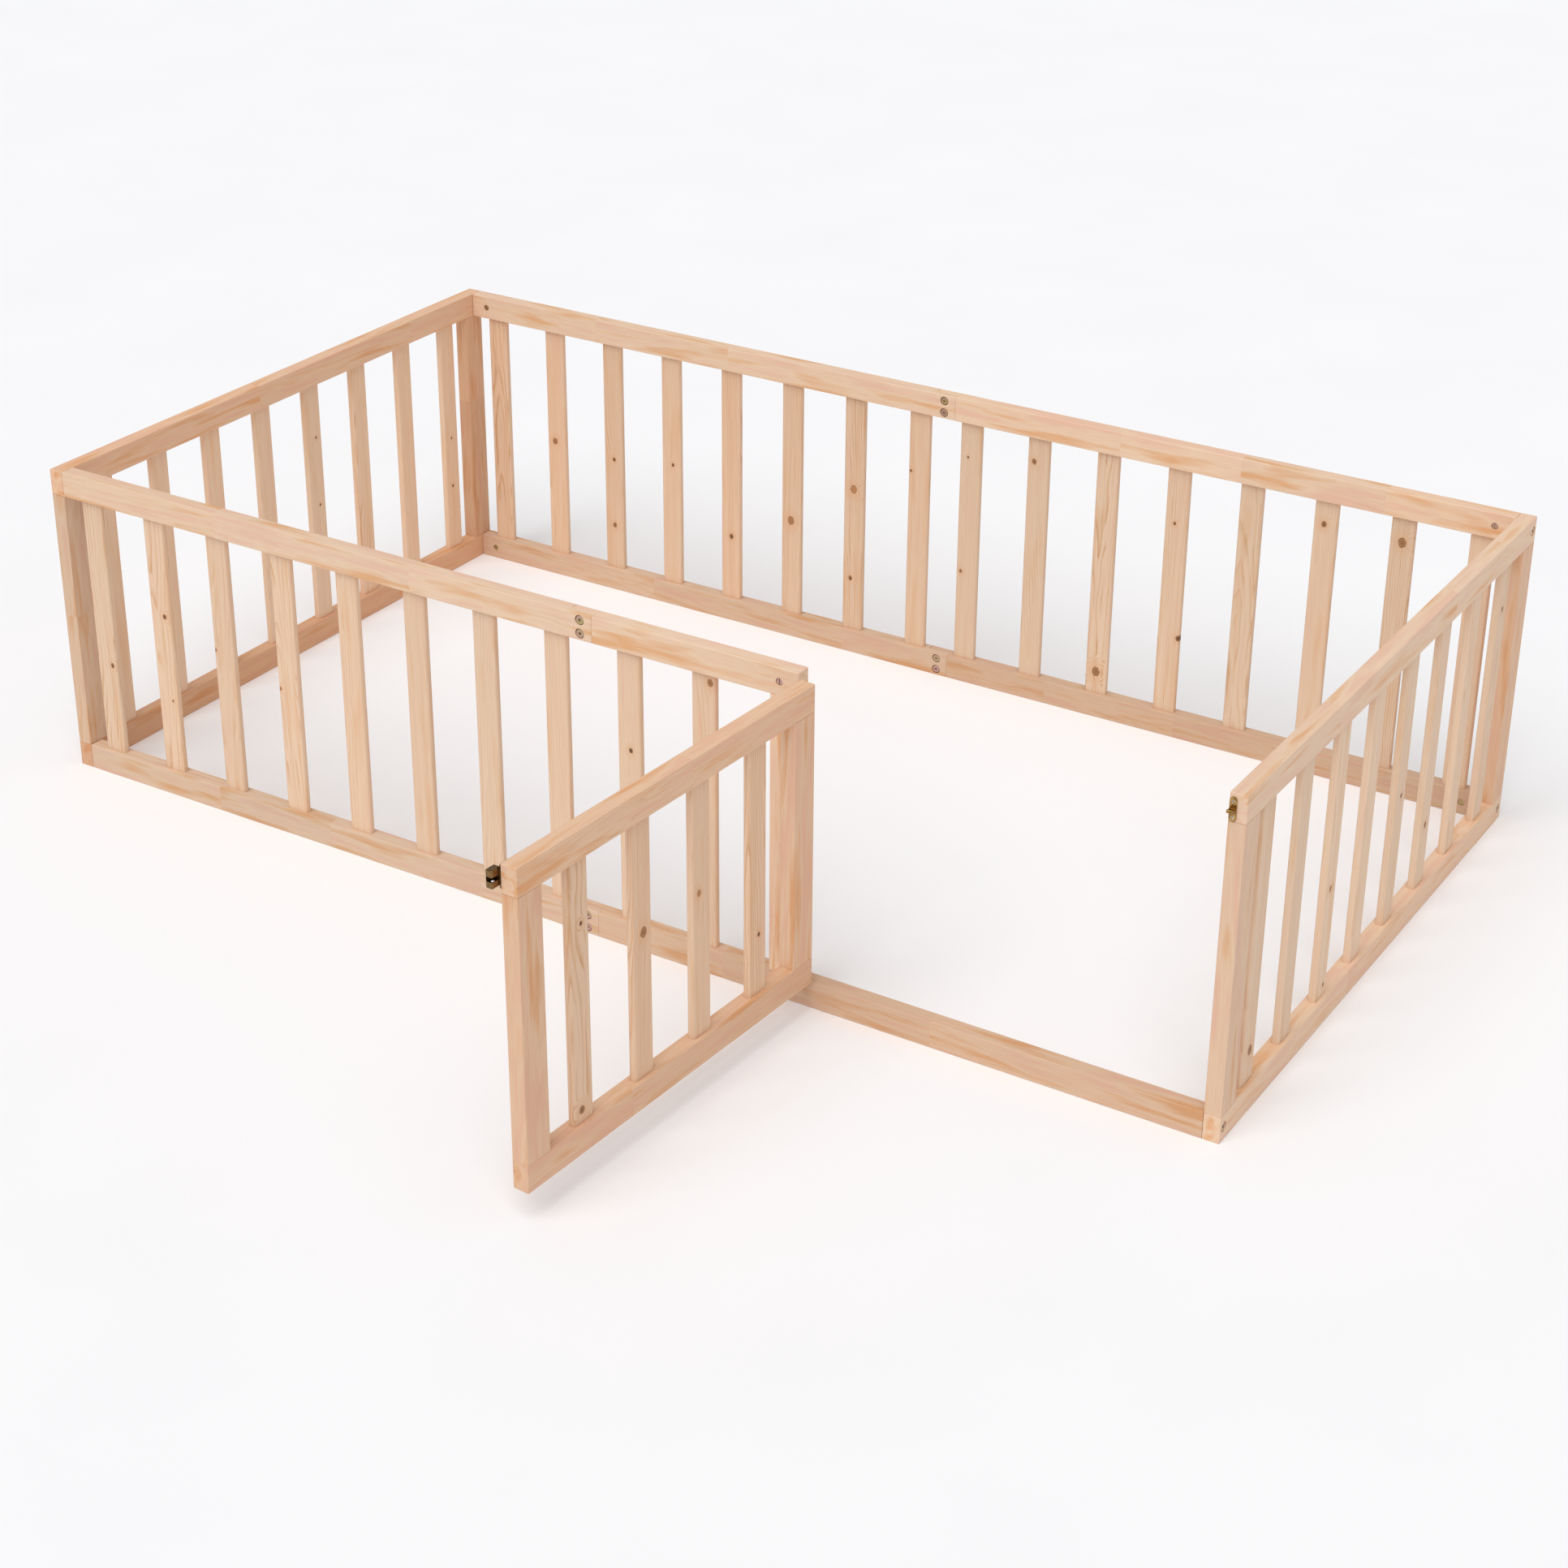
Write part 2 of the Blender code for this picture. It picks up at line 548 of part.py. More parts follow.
def catch_balls(door_axis):
    for label, sign in (("upper", 1), ("lower", -1)):
        place_z = CATCH_Z + sign * BALL_OUT
        seat = (BALL_X, FRONT_Y - BALL_FRONT, place_z)
        turned(f"catch_ball_{label}", ball_profile(BALL_R), seat, (0, 0, 1), STEEL_BALL, door_axis)


def catch_strike():
    """A plate on the end panel's front end with a tongue that the balls close on."""
    half = CATCH_HEIGHT / 2
    plate = timber(
        "catch_strike",
        (STRIKE_X[0], FRONT_Y - GAP - STRIKE_THICK, CATCH_Z - half),
        (STRIKE_X[1], FRONT_Y - GAP, CATCH_Z + half),
        BRASS, bevel=STRIKE_EDGE,
    )
    root = FRONT_Y - GAP - STRIKE_THICK / 2
    neck = [
        ((TONGUE_X[0], FRONT_Y - HEAD_FRONT[0] - HEAD_BITE, CATCH_Z - NECK_HALF),
         (TONGUE_X[1], root, CATCH_Z + NECK_HALF)),
    ]
    head = [
        ((TONGUE_X[0], FRONT_Y - HEAD_FRONT[1], CATCH_Z - HEAD_HALF),
         (TONGUE_X[1], FRONT_Y - HEAD_FRONT[0], CATCH_Z + HEAD_HALF)),
    ]
    combine(plate, helper("catch_strike_neck", neck), "UNION")
    combine(plate, helper("catch_strike_head", head, rounding=HEAD_SLOPE, along=0), "UNION")


def shade_turned_pieces():
    """Smooth shading round the turned pieces, with their flat faces kept flat."""
    for obj in PARTS.objects:
        if "turn" in obj.modifiers:
            obj.modifiers["turn"].use_smooth_shade = True
            obj.modifiers.new("even_shading", "WEIGHTED_NORMAL")


def main():
    left_top, left_bottom = end_panel("left", -1)
    right_top, right_bottom = end_panel("right", 1)
    rear = BACK_Y - THICK
    back_left = long_panel("back_left", -1, rear)
    back_right = long_panel("back_right", 1, rear)
    front_left = long_panel("front_left", -1, FRONT_Y)
    front_right = doorway_panel()

    levels = {"top": TOP_RAIL_Z + RAIL_MID, "bottom": RAIL_MID}
    lines = {
        "back_top": (levels["top"], rear, (back_left[0], back_right[0])),
        "back_bottom": (levels["bottom"], rear, (back_left[1], back_right[1])),
        "front_top": (levels["top"], FRONT_Y, (front_left[0], front_right[0])),
        "front_bottom": (levels["bottom"], FRONT_Y, (front_left[1], front_right[1])),
    }
    for line, (z, low_y, rails) in lines.items():
        lap_bolt(f"{line}_lap_bolt_upper", z + LAP_BOLT_SPREAD, low_y, rails)
        lap_bolt(f"{line}_lap_bolt_lower", z - LAP_BOLT_SPREAD, low_y, rails)

    front_y, back_y = FRONT_Y + THICK / 2, BACK_Y - THICK / 2
    corners = [
        ("left_front_top", -1, front_y, "top", left_top, front_left[0]),
        ("left_front_bottom", -1, front_y, "bottom", left_bottom, front_left[1]),
        ("left_back_top", -1, back_y, "top", left_top, back_left[0]),
        ("left_back_bottom", -1, back_y, "bottom", left_bottom, back_left[1]),
        ("right_back_top", 1, back_y, "top", right_top, back_right[0]),
        ("right_back_bottom", 1, back_y, "bottom", right_bottom, back_right[1]),
        ("right_front_bottom", 1, front_y, "bottom", right_bottom, front_right[1]),
    ]
    for label, sign, y, level, end_rail, long_rail in corners:
        z = levels[level]
        corner_bolt(f"{label}_corner_bolt", sign, y, z, end_rail, long_rail)
        inward = -1 if y < PEN_CENTRE_Y else 1
        face = y - inward * THICK / 2
        x = sign * (INNER_X - GAP - BARREL_FROM_END)
        barrel_nut(f"{label}_barrel_nut", x, z, face, inward, long_rail)
    spare_x = POST_X - BARREL_FROM_END
    barrel_nut("front_spare_barrel_nut", spare_x, levels["top"], FRONT_Y, 1, front_right[0])

    door_axis = bpy.data.objects.new("door_hinge_axis", None)
    place(door_axis, PIN)
    door_axis.rotation_euler.z = -DOOR_OPEN
    door(door_axis)
    for label, z in zip(("lower", "upper"), HINGE_Z):
        hinge(label, z, door_axis)
    catch_housing(door_axis)
    catch_balls(door_axis)
    catch_strike()
    shade_turned_pieces()


main()
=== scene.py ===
"""Natural pine playpen: the looks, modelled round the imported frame.

Rails, stiles and slats in sanded pine, yellow-passivated bolts and barrel nuts, brass-plated hinges and
a double ball catch. Everything is in metres on the frame's own axes. The door's pieces are modelled with
the door shut, and then turned to where it stands open at rest.
"""

import json
import math
import random

import bmesh
import bpy
from bpy.props import FloatProperty, FloatVectorProperty, IntProperty, PointerProperty
from mathutils import Matrix, Vector


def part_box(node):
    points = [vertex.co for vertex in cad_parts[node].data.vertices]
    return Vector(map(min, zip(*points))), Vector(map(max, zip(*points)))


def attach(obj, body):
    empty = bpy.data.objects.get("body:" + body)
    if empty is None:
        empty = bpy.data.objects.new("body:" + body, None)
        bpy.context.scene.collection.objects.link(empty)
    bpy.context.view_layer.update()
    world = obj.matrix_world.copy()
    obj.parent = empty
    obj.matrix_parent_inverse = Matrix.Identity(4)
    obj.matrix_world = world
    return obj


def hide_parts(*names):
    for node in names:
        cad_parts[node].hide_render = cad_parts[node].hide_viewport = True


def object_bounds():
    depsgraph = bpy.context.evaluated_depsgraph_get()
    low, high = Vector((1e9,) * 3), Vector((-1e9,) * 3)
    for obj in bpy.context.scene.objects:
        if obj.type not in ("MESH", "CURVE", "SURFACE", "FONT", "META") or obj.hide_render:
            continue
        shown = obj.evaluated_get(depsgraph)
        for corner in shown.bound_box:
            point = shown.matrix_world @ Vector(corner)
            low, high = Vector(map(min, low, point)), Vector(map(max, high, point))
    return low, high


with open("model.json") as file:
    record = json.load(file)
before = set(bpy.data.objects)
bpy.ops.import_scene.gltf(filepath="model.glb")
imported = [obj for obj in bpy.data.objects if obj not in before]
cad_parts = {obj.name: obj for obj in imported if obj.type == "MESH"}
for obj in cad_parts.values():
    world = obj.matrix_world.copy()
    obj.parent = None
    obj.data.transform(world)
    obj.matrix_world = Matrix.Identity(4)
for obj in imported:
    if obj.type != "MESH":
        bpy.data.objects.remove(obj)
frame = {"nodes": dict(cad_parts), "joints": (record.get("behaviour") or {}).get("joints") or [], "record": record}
CAD_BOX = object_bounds()

bl_info = {
    "name": "Natural Pine Playpen",
    "version": (1, 0, 0),
    "blender": (4, 5, 0),
    "location": "3D View > Sidebar > Playpen",
    "description": "Models a slatted pine playpen with a hinged door round its packed frame",
    "category": "Object",
}

# The body that each node belongs to, and the door's hinge.
BODY = {node: body for body, nodes in frame["record"]["behaviour"]["bodies"].items() for node in nodes}
HINGE = next(joint for joint in frame["joints"] if joint["name"] == "door_hinge")
PIN = Vector(HINGE["pos_m"])
SWING = Matrix.Rotation(-math.radians(HINGE["range_deg"][1]), 4, "Z")
TO_OPEN = Matrix.Translation(PIN) @ SWING @ Matrix.Translation(-PIN)
TO_SHUT = TO_OPEN.inverted()

# Sizes that the frame's boxes do not give, in metres.
GAP = 0.0003  # between pieces that touch
SEAM = 0.00015  # round a tenon, and between a stile's shoulder and its rail
PAST = 0.006  # how far a cutter runs past the face that it opens
TINY = 1e-6  # places closer than this are the same

# Woodwork.
RAIL = 0.040
TENON = 0.012  # how deep a slat stands in its rail
STILE_TENON = (0.010, 0.024, 0.009)  # across the panel, along it, and deep
TENON_CORNER = 0.001
MEMBER_END = 0.12  # the shortest board at the end of a rail or stile
SLAT_PATCHES = 0.4  # how patchy a slat's colour is beside a rail's
NO_KNOT = Vector((1.0, 1.0, 0.001))  # far from a very small knot, for wood that has none

# Bolts and nuts.
COUNTERBORE = (0.0075, 0.0055)  # radius, depth
NUT_BORE = (0.0070, 0.0045)
SHANK_R = 0.003
SHANK_HOLE_R = 0.0034
HEAD_R = 0.0065
HEAD_HEIGHT = 0.0042
HEAD_RIM = 0.0007
SOCKET = (0.0024, 0.0022)  # hexagon socket: radius to its corners, depth
NUT_R = 0.006
NUT_HEIGHT = 0.003
NUT_RIM = 0.0005
NUT_FLOOR = 0.0016  # between a sleeve nut's face and its bore
BARREL_HOLE_R = 0.0053
BARREL_RIM = 0.0006
BARREL_SLOT = (0.0013, 0.0011)  # width, depth
METAL_EDGE = 0.0001  # the eased edges of sockets, slots and bores

# Hinges and wood screws.
SCREW_R = 0.0026
RECESS = (SCREW_R * 0.62, 0.00032, 0.0006)  # cross recess: half its length, half its width, its depth
PLATE_THICK = 0.0012
PLATE_EDGE = 0.0002
LEAF_CORNER = 0.003
LEAF_CLEAR = 0.0002  # between a leaf and the plane through the pin
STRAP_LAP = 0.0035  # how far the strap from a knuckle runs on to its leaf
SCREW_SINK = 0.25  # how deep a screw's rim sits in its leaf, in thicknesses
HINGE_SCREW_BACK = 0.001  # screws stand behind the middle of the leaf
HINGE_SCREW_PROUD = 0.0001
KNUCKLE_R = 0.0035
KNUCKLES = 5
KNUCKLE_EDGE = 0.0003
HINGE_PIN_R = KNUCKLE_R / 2
HINGE_PIN_EDGE = 0.0004

# The catch, with the door shut.
CATCH_CORNER = 0.0035
CATCH_BLOCK_FROM = 0.949  # where the catch's forked block begins along X
CATCH_BLOCK_HEIGHT = 0.025
CATCH_BLOCK_EDGE = 0.0020
CATCH_BRIDGE_INSET = 0.001  # from the block's faces to the bridge that carries it to its plate
CATCH_OVERHANG_BACK = 0.0018  # block's open side, in front of the plate's back
CATCH_SLOT_FROM = 0.9535
CATCH_SLOT_HALF = 0.0031
CATCH_SLOT_DEEP = 0.0089  # from the block's open side
CATCH_SLOT_EDGE = 0.0008
BALL_CLEAR = 0.0001
SPRING_ROOM = 0.0022  # past the ball, in its bore
HOUSING_SCREW = (0.0058, 0.0115)  # from the plate's end, and up or down from the middle
HOUSING_SCREW_PROUD = 0.0007
STRIKE_SCREW = 0.0108  # up or down from the middle
STRIKE_SCREW_PROUD = 0.00045
STRIKE_EDGE = 0.0003
# The tongue's outline from its root: how far out from the panel, and half its thickness.
TONGUE = [
    (0.0009, 0.0019), (0.0016, 0.0013), (0.0030, 0.0010), (0.0058, 0.0010), (0.0066, 0.0012),
    (0.0074, 0.0018), (0.0082, 0.0025), (0.0089, 0.0026), (0.0098, 0.0023), (0.0106, 0.0014), (0.0110, 0.0),
]
TONGUE_INSET = (0.0004, 0.0010)  # from the plate's left and right edges

# Lights: azimuth, elevation and softness, in degrees.
KEY_LIGHT = (8, 60, 50)
FILL_LIGHT = (75, 35, 80)
LIGHT_DISTANCE = 4.0  # only where the lamps are drawn: they light from far away
FLOOR_REACH = 14.0

# Angles past which an edge is shaded sharp, and past which a cut edge is chamfered.
SHARP = math.radians(40)
CUT_SHARP = math.radians(60)

# Knots: height above the floor, place across the slat from -1 to 1, radius, darkness 0 to 1.
KNOTS = {
    "back_left_slat_2": [(0.255, -0.15, 0.0050, 0.45)],
    "back_left_slat_3": [(0.247, 0.10, 0.0031, 0.95), (0.122, 0.05, 0.0038, 0.60)],
    "back_left_slat_4": [(0.263, 0.20, 0.0028, 0.95)],
    "back_left_slat_5": [(0.156, 0.10, 0.0040, 0.90)],
    "back_left_slat_6": [(0.213, 0.0, 0.0062, 0.30)],
    "back_left_slat_7": [(0.297, 0.0, 0.0060, 0.05), (0.134, -0.20, 0.0036, 0.80)],
    "back_left_slat_8": [(0.354, -0.75, 0.0021, 1.00)],
    "back_right_slat_1": [(0.400, -0.20, 0.0019, 0.90), (0.197, -0.55, 0.0028, 0.55)],
    "back_right_slat_2": [(0.418, -0.35, 0.0040, 0.60)],
    "back_right_slat_3": [(0.078, 0.0, 0.0068, 0.50)],
    "back_right_slat_4": [(0.367, -0.10, 0.0026, 0.75), (0.172, 0.92, 0.0042, 0.85)],
    "back_right_slat_6": [(0.421, -0.10, 0.0042, 0.65)],
    "back_right_slat_7": [(0.419, 0.05, 0.0066, 0.45)],
    "left_end_slat_5": [(0.366, 0.20, 0.0021, 1.00), (0.245, 0.20, 0.0021, 1.00)],
    "left_end_slat_8": [(0.249, 0.0, 0.0021, 0.80), (0.158, -0.10, 0.0026, 1.00)],
    "front_left_slat_1": [(0.190, 0.60, 0.0035, 0.85)],
    "front_left_slat_2": [(0.302, 0.45, 0.0036, 0.85), (0.161, 0.50, 0.0018, 1.00)],
    "front_left_slat_3": [(0.272, -0.85, 0.0026, 0.35)],
    "front_left_slat_4": [(0.240, -0.80, 0.0028, 0.30)],
    "front_right_slat_1": [(0.310, 0.15, 0.0033, 1.00)],
    "front_right_slat_2": [(0.447, 0.60, 0.0045, 0.45)],
    "door_slat_1": [(0.175, -0.10, 0.0031, 0.95)],
    "door_slat_2": [(0.297, 0.30, 0.0040, 0.10)],
    "door_slat_3": [(0.295, -0.10, 0.0062, 0.45)],
    "door_slat_4": [(0.365, -0.20, 0.0028, 0.95), (0.104, 0.20, 0.0050, 0.65)],
    "right_end_slat_1": [(0.088, 0.10, 0.0062, 0.55)],
    "right_end_slat_3": [(0.210, -0.10, 0.0042, 0.20), (0.057, 0.35, 0.0028, 0.90)],
    "right_end_slat_5": [(0.239, 0.10, 0.0033, 0.95)],
    "right_end_slat_6": [(0.138, 0.0, 0.0044, 0.60)],
    "right_end_slat_8": [(0.385, -0.10, 0.0035, 0.80)],
}
# Slats with strong growth rings, and how strong; the others are plainer.
BOLD_GRAIN = {
    "back_left_slat_1": 1.0, "back_left_slat_5": 0.75, "back_left_slat_6": 0.8, "back_left_slat_7": 0.9,
    "back_right_slat_3": 0.95, "back_right_slat_4": 0.8, "back_right_slat_5": 0.7, "back_right_slat_7": 0.85,
    "front_left_slat_1": 0.9, "front_left_slat_2": 0.8, "front_left_slat_4": 0.7,
    "front_left_slat_5": 0.6,
    "door_slat_1": 0.9, "door_slat_3": 1.0, "door_slat_4": 0.8, "left_end_slat_6": 0.8,
    "right_end_slat_1": 0.7, "right_end_slat_3": 0.6,
}
# How light and how warm each rail and stile is beside the plain wood: lightness -3 to 3, warmth 0 to 1. Mostly the
# boards' own tone, but the bottom rails' low lightness is painted shade, for the shade near the floor.
SHADES = {
    "left_end_top_rail": (0.5, 0.50), "left_end_bottom_rail": (-1.5, 1.00),
    "right_end_top_rail": (0.6, 0.0), "right_end_bottom_rail": (0.8, 0.15),
    "back_left_top_rail": (0.9, 0.0), "back_left_bottom_rail": (-2.2, 0.30),
    "back_right_top_rail": (0.8, 0.05), "back_right_bottom_rail": (-2.6, 0.35),
    "front_left_top_rail": (0.2, 0.0), "front_left_bottom_rail": (-1.5, 0.0),
    "front_right_top_rail": (0.7, 0.0), "front_right_bottom_rail": (-2.1, 0.30),
    "door_top_rail": (0.5, 0.40), "door_bottom_rail": (-0.3, 0.60),
    "left_end_front_stile": (-1.3, 0.20), "left_end_back_stile": (-1.8, 0.90),
    "right_end_front_stile": (-0.5, 0.25), "right_end_back_stile": (-0.8, 0.50),
    "front_door_post": (2.0, 0.0), "door_hinge_stile": (-0.3, 0.40), "door_latch_stile": (-1.1, 0.50),
}
# The same for the slats of each panel.
SLAT_SHADES = {
    "left_end": (0.7, 0.20), "right_end": (0.4, 0.0), "back_left": (-0.4, 0.28), "back_right": (-0.3, 0.05),
    "front_left": (0.0, 0.10), "front_right": (0.6, 0.10), "door": (0.4, 0.20),
}


def linear(hex_colour):
    """An sRGB hex colour as linear RGB."""
    parts = [int(hex_colour[place:place + 2], 16) / 255 for place in (1, 3, 5)]
    return tuple(part / 12.92 if part <= 0.04045 else ((part + 0.055) / 1.055) ** 2.4 for part in parts)


class PlaypenTimber(bpy.types.PropertyGroup):
    """Sizes of the woodwork."""

    rail_radius: FloatProperty(
        name="Rail edges", description="Radius of the rounded edges of rails and stiles", default=0.0012,
        unit="LENGTH")
    slat_radius: FloatProperty(
        name="Slat edges", description="Radius of a slat's long edges", default=0.0036, unit="LENGTH")
    cut_edge: FloatProperty(
        name="Cut edges", description="Chamfer round mortises, laps and bolt holes", default=0.0004,
        unit="LENGTH")
    ring_width: FloatProperty(
        name="Growth rings", description="Distance from one growth ring to the next", default=0.0042,
        unit="LENGTH")
    stave: FloatProperty(
        name="Stave length", description="Usual length between finger joints", default=0.34, unit="LENGTH")
    seed: IntProperty(name="Seed", description="Which boards the playpen is cut from", default=11)


class PlaypenColours(bpy.types.PropertyGroup):
    """Colours of the wood and the metal."""

    early_wood: FloatVectorProperty(
        name="Early wood", description="Pale wood between the rings", subtype="COLOR",
        default=linear("#eed1b4"))
    late_wood: FloatVectorProperty(
        name="Late wood", description="Darker wood of the rings", subtype="COLOR", default=linear("#d19c68"))
    resin_wood: FloatVectorProperty(
        name="Resin wood", description="Warm orange patches", subtype="COLOR", default=linear("#e4ac7a"))
    pink_wood: FloatVectorProperty(
        name="Pink wood", description="Pinkish patches", subtype="COLOR", default=linear("#ebc2a8"))
    warm_tint: FloatVectorProperty(
        name="Warm tint", description="Tint of the warmest boards", subtype="COLOR",
        default=linear("#ffe7d4"))
    knot_heart: FloatVectorProperty(
        name="Knot heart", description="Heart of a dark knot", subtype="COLOR", default=linear("#432616"))
    knot_wood: FloatVectorProperty(
        name="Knot wood", description="Sound wood of a knot", subtype="COLOR", default=linear("#b97e50"))
    zinc_gold: FloatVectorProperty(
        name="Zinc gold", description="Golden tint of the bolts", subtype="COLOR", default=linear("#b9a878"))
    zinc_pink: FloatVectorProperty(
        name="Zinc pink", description="Pink tint of the bolts", subtype="COLOR", default=linear("#c19a94"))
    brass: FloatVectorProperty(
        name="Brass", description="Brass plating", subtype="COLOR", default=linear("#b8935a"))
    steel: FloatVectorProperty(
        name="Steel", description="Polished steel", subtype="COLOR", default=linear("#d3d3d8"))


class PlaypenStage(bpy.types.PropertyGroup):
    """Camera and lights."""

    place: FloatVectorProperty(
        name="Camera place", description="Where the camera stands", subtype="TRANSLATION",
        default=(2.134, -3.136, 2.136))
    azimuth: FloatProperty(
        name="Azimuth", description="Camera's turn round the pen", subtype="ANGLE",
        default=math.radians(31.71))
    elevation: FloatProperty(
        name="Elevation", description="How far the camera looks down", subtype="ANGLE",
        default=math.radians(26.09))
    roll: FloatProperty(
        name="Roll", description="Camera's tilt to the side", subtype="ANGLE", default=math.radians(0.40))
    lens: FloatProperty(name="Lens", description="Focal length", default=67.27, unit="CAMERA")
    drop: FloatProperty(name="Shift", description="Vertical shift of the lens", default=-0.052)
    key: FloatProperty(name="Key light", description="Strength of the key light", default=1.82)
    fill: FloatProperty(name="Fill light", description="Strength of the fill light", default=0.05)
    sky: FloatProperty(name="Sky", description="Strength of the even light", default=0.50)


# Materials.


def feed(node, inputs):
    """Gives each socket its value or the output that feeds it: a node stands for its first output."""
    for socket, source in inputs.items():
        if isinstance(source, bpy.types.Node):
            source = source.outputs[0]
        if isinstance(source, bpy.types.NodeSocket):
            node.id_data.links.new(source, node.inputs[socket])
        else:
            node.inputs[socket].default_value = source


def add_node(tree, kind, inputs=None, stops=None, **settings):
    """Adds a node with its settings, what its sockets take and, on a ramp, its stops."""
    made = tree.nodes.new(kind)
    for name, value in settings.items():
        setattr(made, name, value)
    feed(made, inputs or {})
    if stops:
        elements = made.color_ramp.elements
        while len(elements) < len(stops):
            elements.new(0.5)
        for element, (place, shade) in zip(elements, stops):
            element.position = place
            element.color = (shade, shade, shade, 1.0)
    return made


def new_material(name):
    material = bpy.data.materials.new(name)
    material.use_nodes = True
    tree = material.node_tree
    return material, tree, tree.nodes["Principled BSDF"]


def sanded_pine():
    """Scots pine, planed and sanded with no varnish: pale and matt, with soft orange rings and brown knots.

    It reads what each piece carries at its face corners. Grain is the place in the log that it was cut
    from. Knot is the offset from the nearest knot, along and across the grain, and the knot's radius. Tone
    is lightness, ring contrast and the knot's darkness. Warmth is how orange the board is, and patchiness
    how much its colour changes.
    """
    timber = bpy.context.scene.playpen_timber
    colours = bpy.context.scene.playpen_colours
    early_wood, late_wood, resin_wood, pink_wood, warm_tint, knot_heart, knot_wood = [
        (*colour, 1.0) for colour in (
            colours.early_wood, colours.late_wood, colours.resin_wood, colours.pink_wood, colours.warm_tint,
            colours.knot_heart, colours.knot_wood)]
    material, tree, shader = new_material("sanded_pine")
    grain, knot, tone, warmth, patchiness = [
        add_node(tree, "ShaderNodeAttribute", attribute_name=label).outputs[output] for label, output in (
            ("grain", "Vector"), ("knot", "Vector"), ("tone", "Vector"), ("warmth", "Fac"),
            ("patchiness", "Fac"))]
    shade, contrast, darkness = add_node(tree, "ShaderNodeSeparateXYZ", {0: tone}).outputs
    knot_radius = add_node(tree, "ShaderNodeSeparateXYZ", {0: knot}).outputs[2]

    # Noise in the log: repeats a metre along, across and through it, and detail.
    noise = {}
    for label, repeats, detail in (
        ("bend", (4.6, 20, 20), 1.5),  # the trunk's bends, about 220 mm long and 50 mm wide
        ("ripple", (26, 90, 90), 2.0),  # waves in the rings, 38 mm long and 11 mm wide
        ("season", (1.6, 95, 95), 1.0),  # groups of strong and faint years, 10 mm wide
        ("patch", (6.5, 42, 42), 3.0),  # warm and pink patches, 150 mm long and 24 mm wide
        ("rag", (230, 230, 230), 2.0),  # notches in the edge of a knot, 4 mm long
        # Fibres, too fine to show at their real 0.03 mm, are drawn about 0.8 mm wide.
        ("fibre", (14, 1250, 1250), 3.0),
    ):
        place = add_node(tree, "ShaderNodeVectorMath", {0: grain, 1: repeats}, operation="MULTIPLY")
        noise[label] = add_node(
            tree, "ShaderNodeTexNoise", {"Vector": place, "Scale": 1.0, "Detail": detail, "Roughness": 0.5})

    # Distance from the knot's middle in radii: a knot is longer along the grain, and a little ragged.
    oval = add_node(tree, "ShaderNodeVectorMath", {0: knot, 1: (0.80, 1.0, 0.0)}, operation="MULTIPLY")
    reach = add_node(tree, "ShaderNodeVectorMath", {0: oval}, operation="LENGTH").outputs["Value"]
    radii = add_node(tree, "ShaderNodeMath", {0: reach, 1: knot_radius}, operation="DIVIDE")
    rag = add_node(tree, "ShaderNodeMath", {0: noise["rag"], 1: 0.5, 2: 0.75}, operation="MULTIPLY_ADD")
    ragged = add_node(tree, "ShaderNodeMath", {0: radii, 1: rag}, operation="MULTIPLY")
    near = add_node(
        tree, "ShaderNodeMapRange", {0: radii, 1: 4.0, 2: 0.8}, interpolation_type="SMOOTHERSTEP")
    disc = add_node(
        tree, "ShaderNodeMapRange", {0: ragged, 1: 1.10, 2: 0.92, 4: 0.96}, interpolation_type="SMOOTHSTEP")
    heart = add_node(
        tree, "ShaderNodeMapRange", {0: ragged, 1: 0.85, 2: 0.35}, interpolation_type="SMOOTHSTEP")

    # Growth rings: distance from the log's heart, wandering along the log and bulging round a knot.
    crosswise = add_node(tree, "ShaderNodeVectorMath", {0: grain, 1: (0.0, 1.0, 1.0)}, operation="MULTIPLY")
    from_heart = add_node(tree, "ShaderNodeVectorMath", {0: crosswise}, operation="LENGTH").outputs["Value"]
    bent = add_node(
        tree, "ShaderNodeMath", {0: noise["bend"], 1: 0.024, 2: from_heart}, operation="MULTIPLY_ADD")
    rippled = add_node(
        tree, "ShaderNodeMath", {0: noise["ripple"], 1: 0.0022, 2: bent}, operation="MULTIPLY_ADD")
    bulge = add_node(tree, "ShaderNodeMath", {0: near, 1: knot_radius}, operation="MULTIPLY")
    bulged = add_node(tree, "ShaderNodeMath", {0: bulge, 1: 1.9, 2: rippled}, operation="MULTIPLY_ADD")
    years = add_node(tree, "ShaderNodeMath", {0: bulged, 1: timber.ring_width}, operation="DIVIDE")
    year = add_node(tree, "ShaderNodeMath", {0: years}, operation="FRACT")
    late = add_node(tree, "ShaderNodeValToRGB", {0: year}, stops=[
        (0.0, 0.50), (0.08, 0.03), (0.55, 0.10), (0.82, 0.60), (0.94, 1.0), (1.0, 0.50)])
    season = add_node(
        tree, "ShaderNodeMath", {0: noise["season"], 1: 2.6, 2: -0.72}, operation="MULTIPLY_ADD")
    late = add_node(tree, "ShaderNodeMath", {0: late, 1: season}, operation="MULTIPLY", use_clamp=True)
    late = add_node(tree, "ShaderNodeMath", {0: late, 1: contrast}, operation="MULTIPLY")

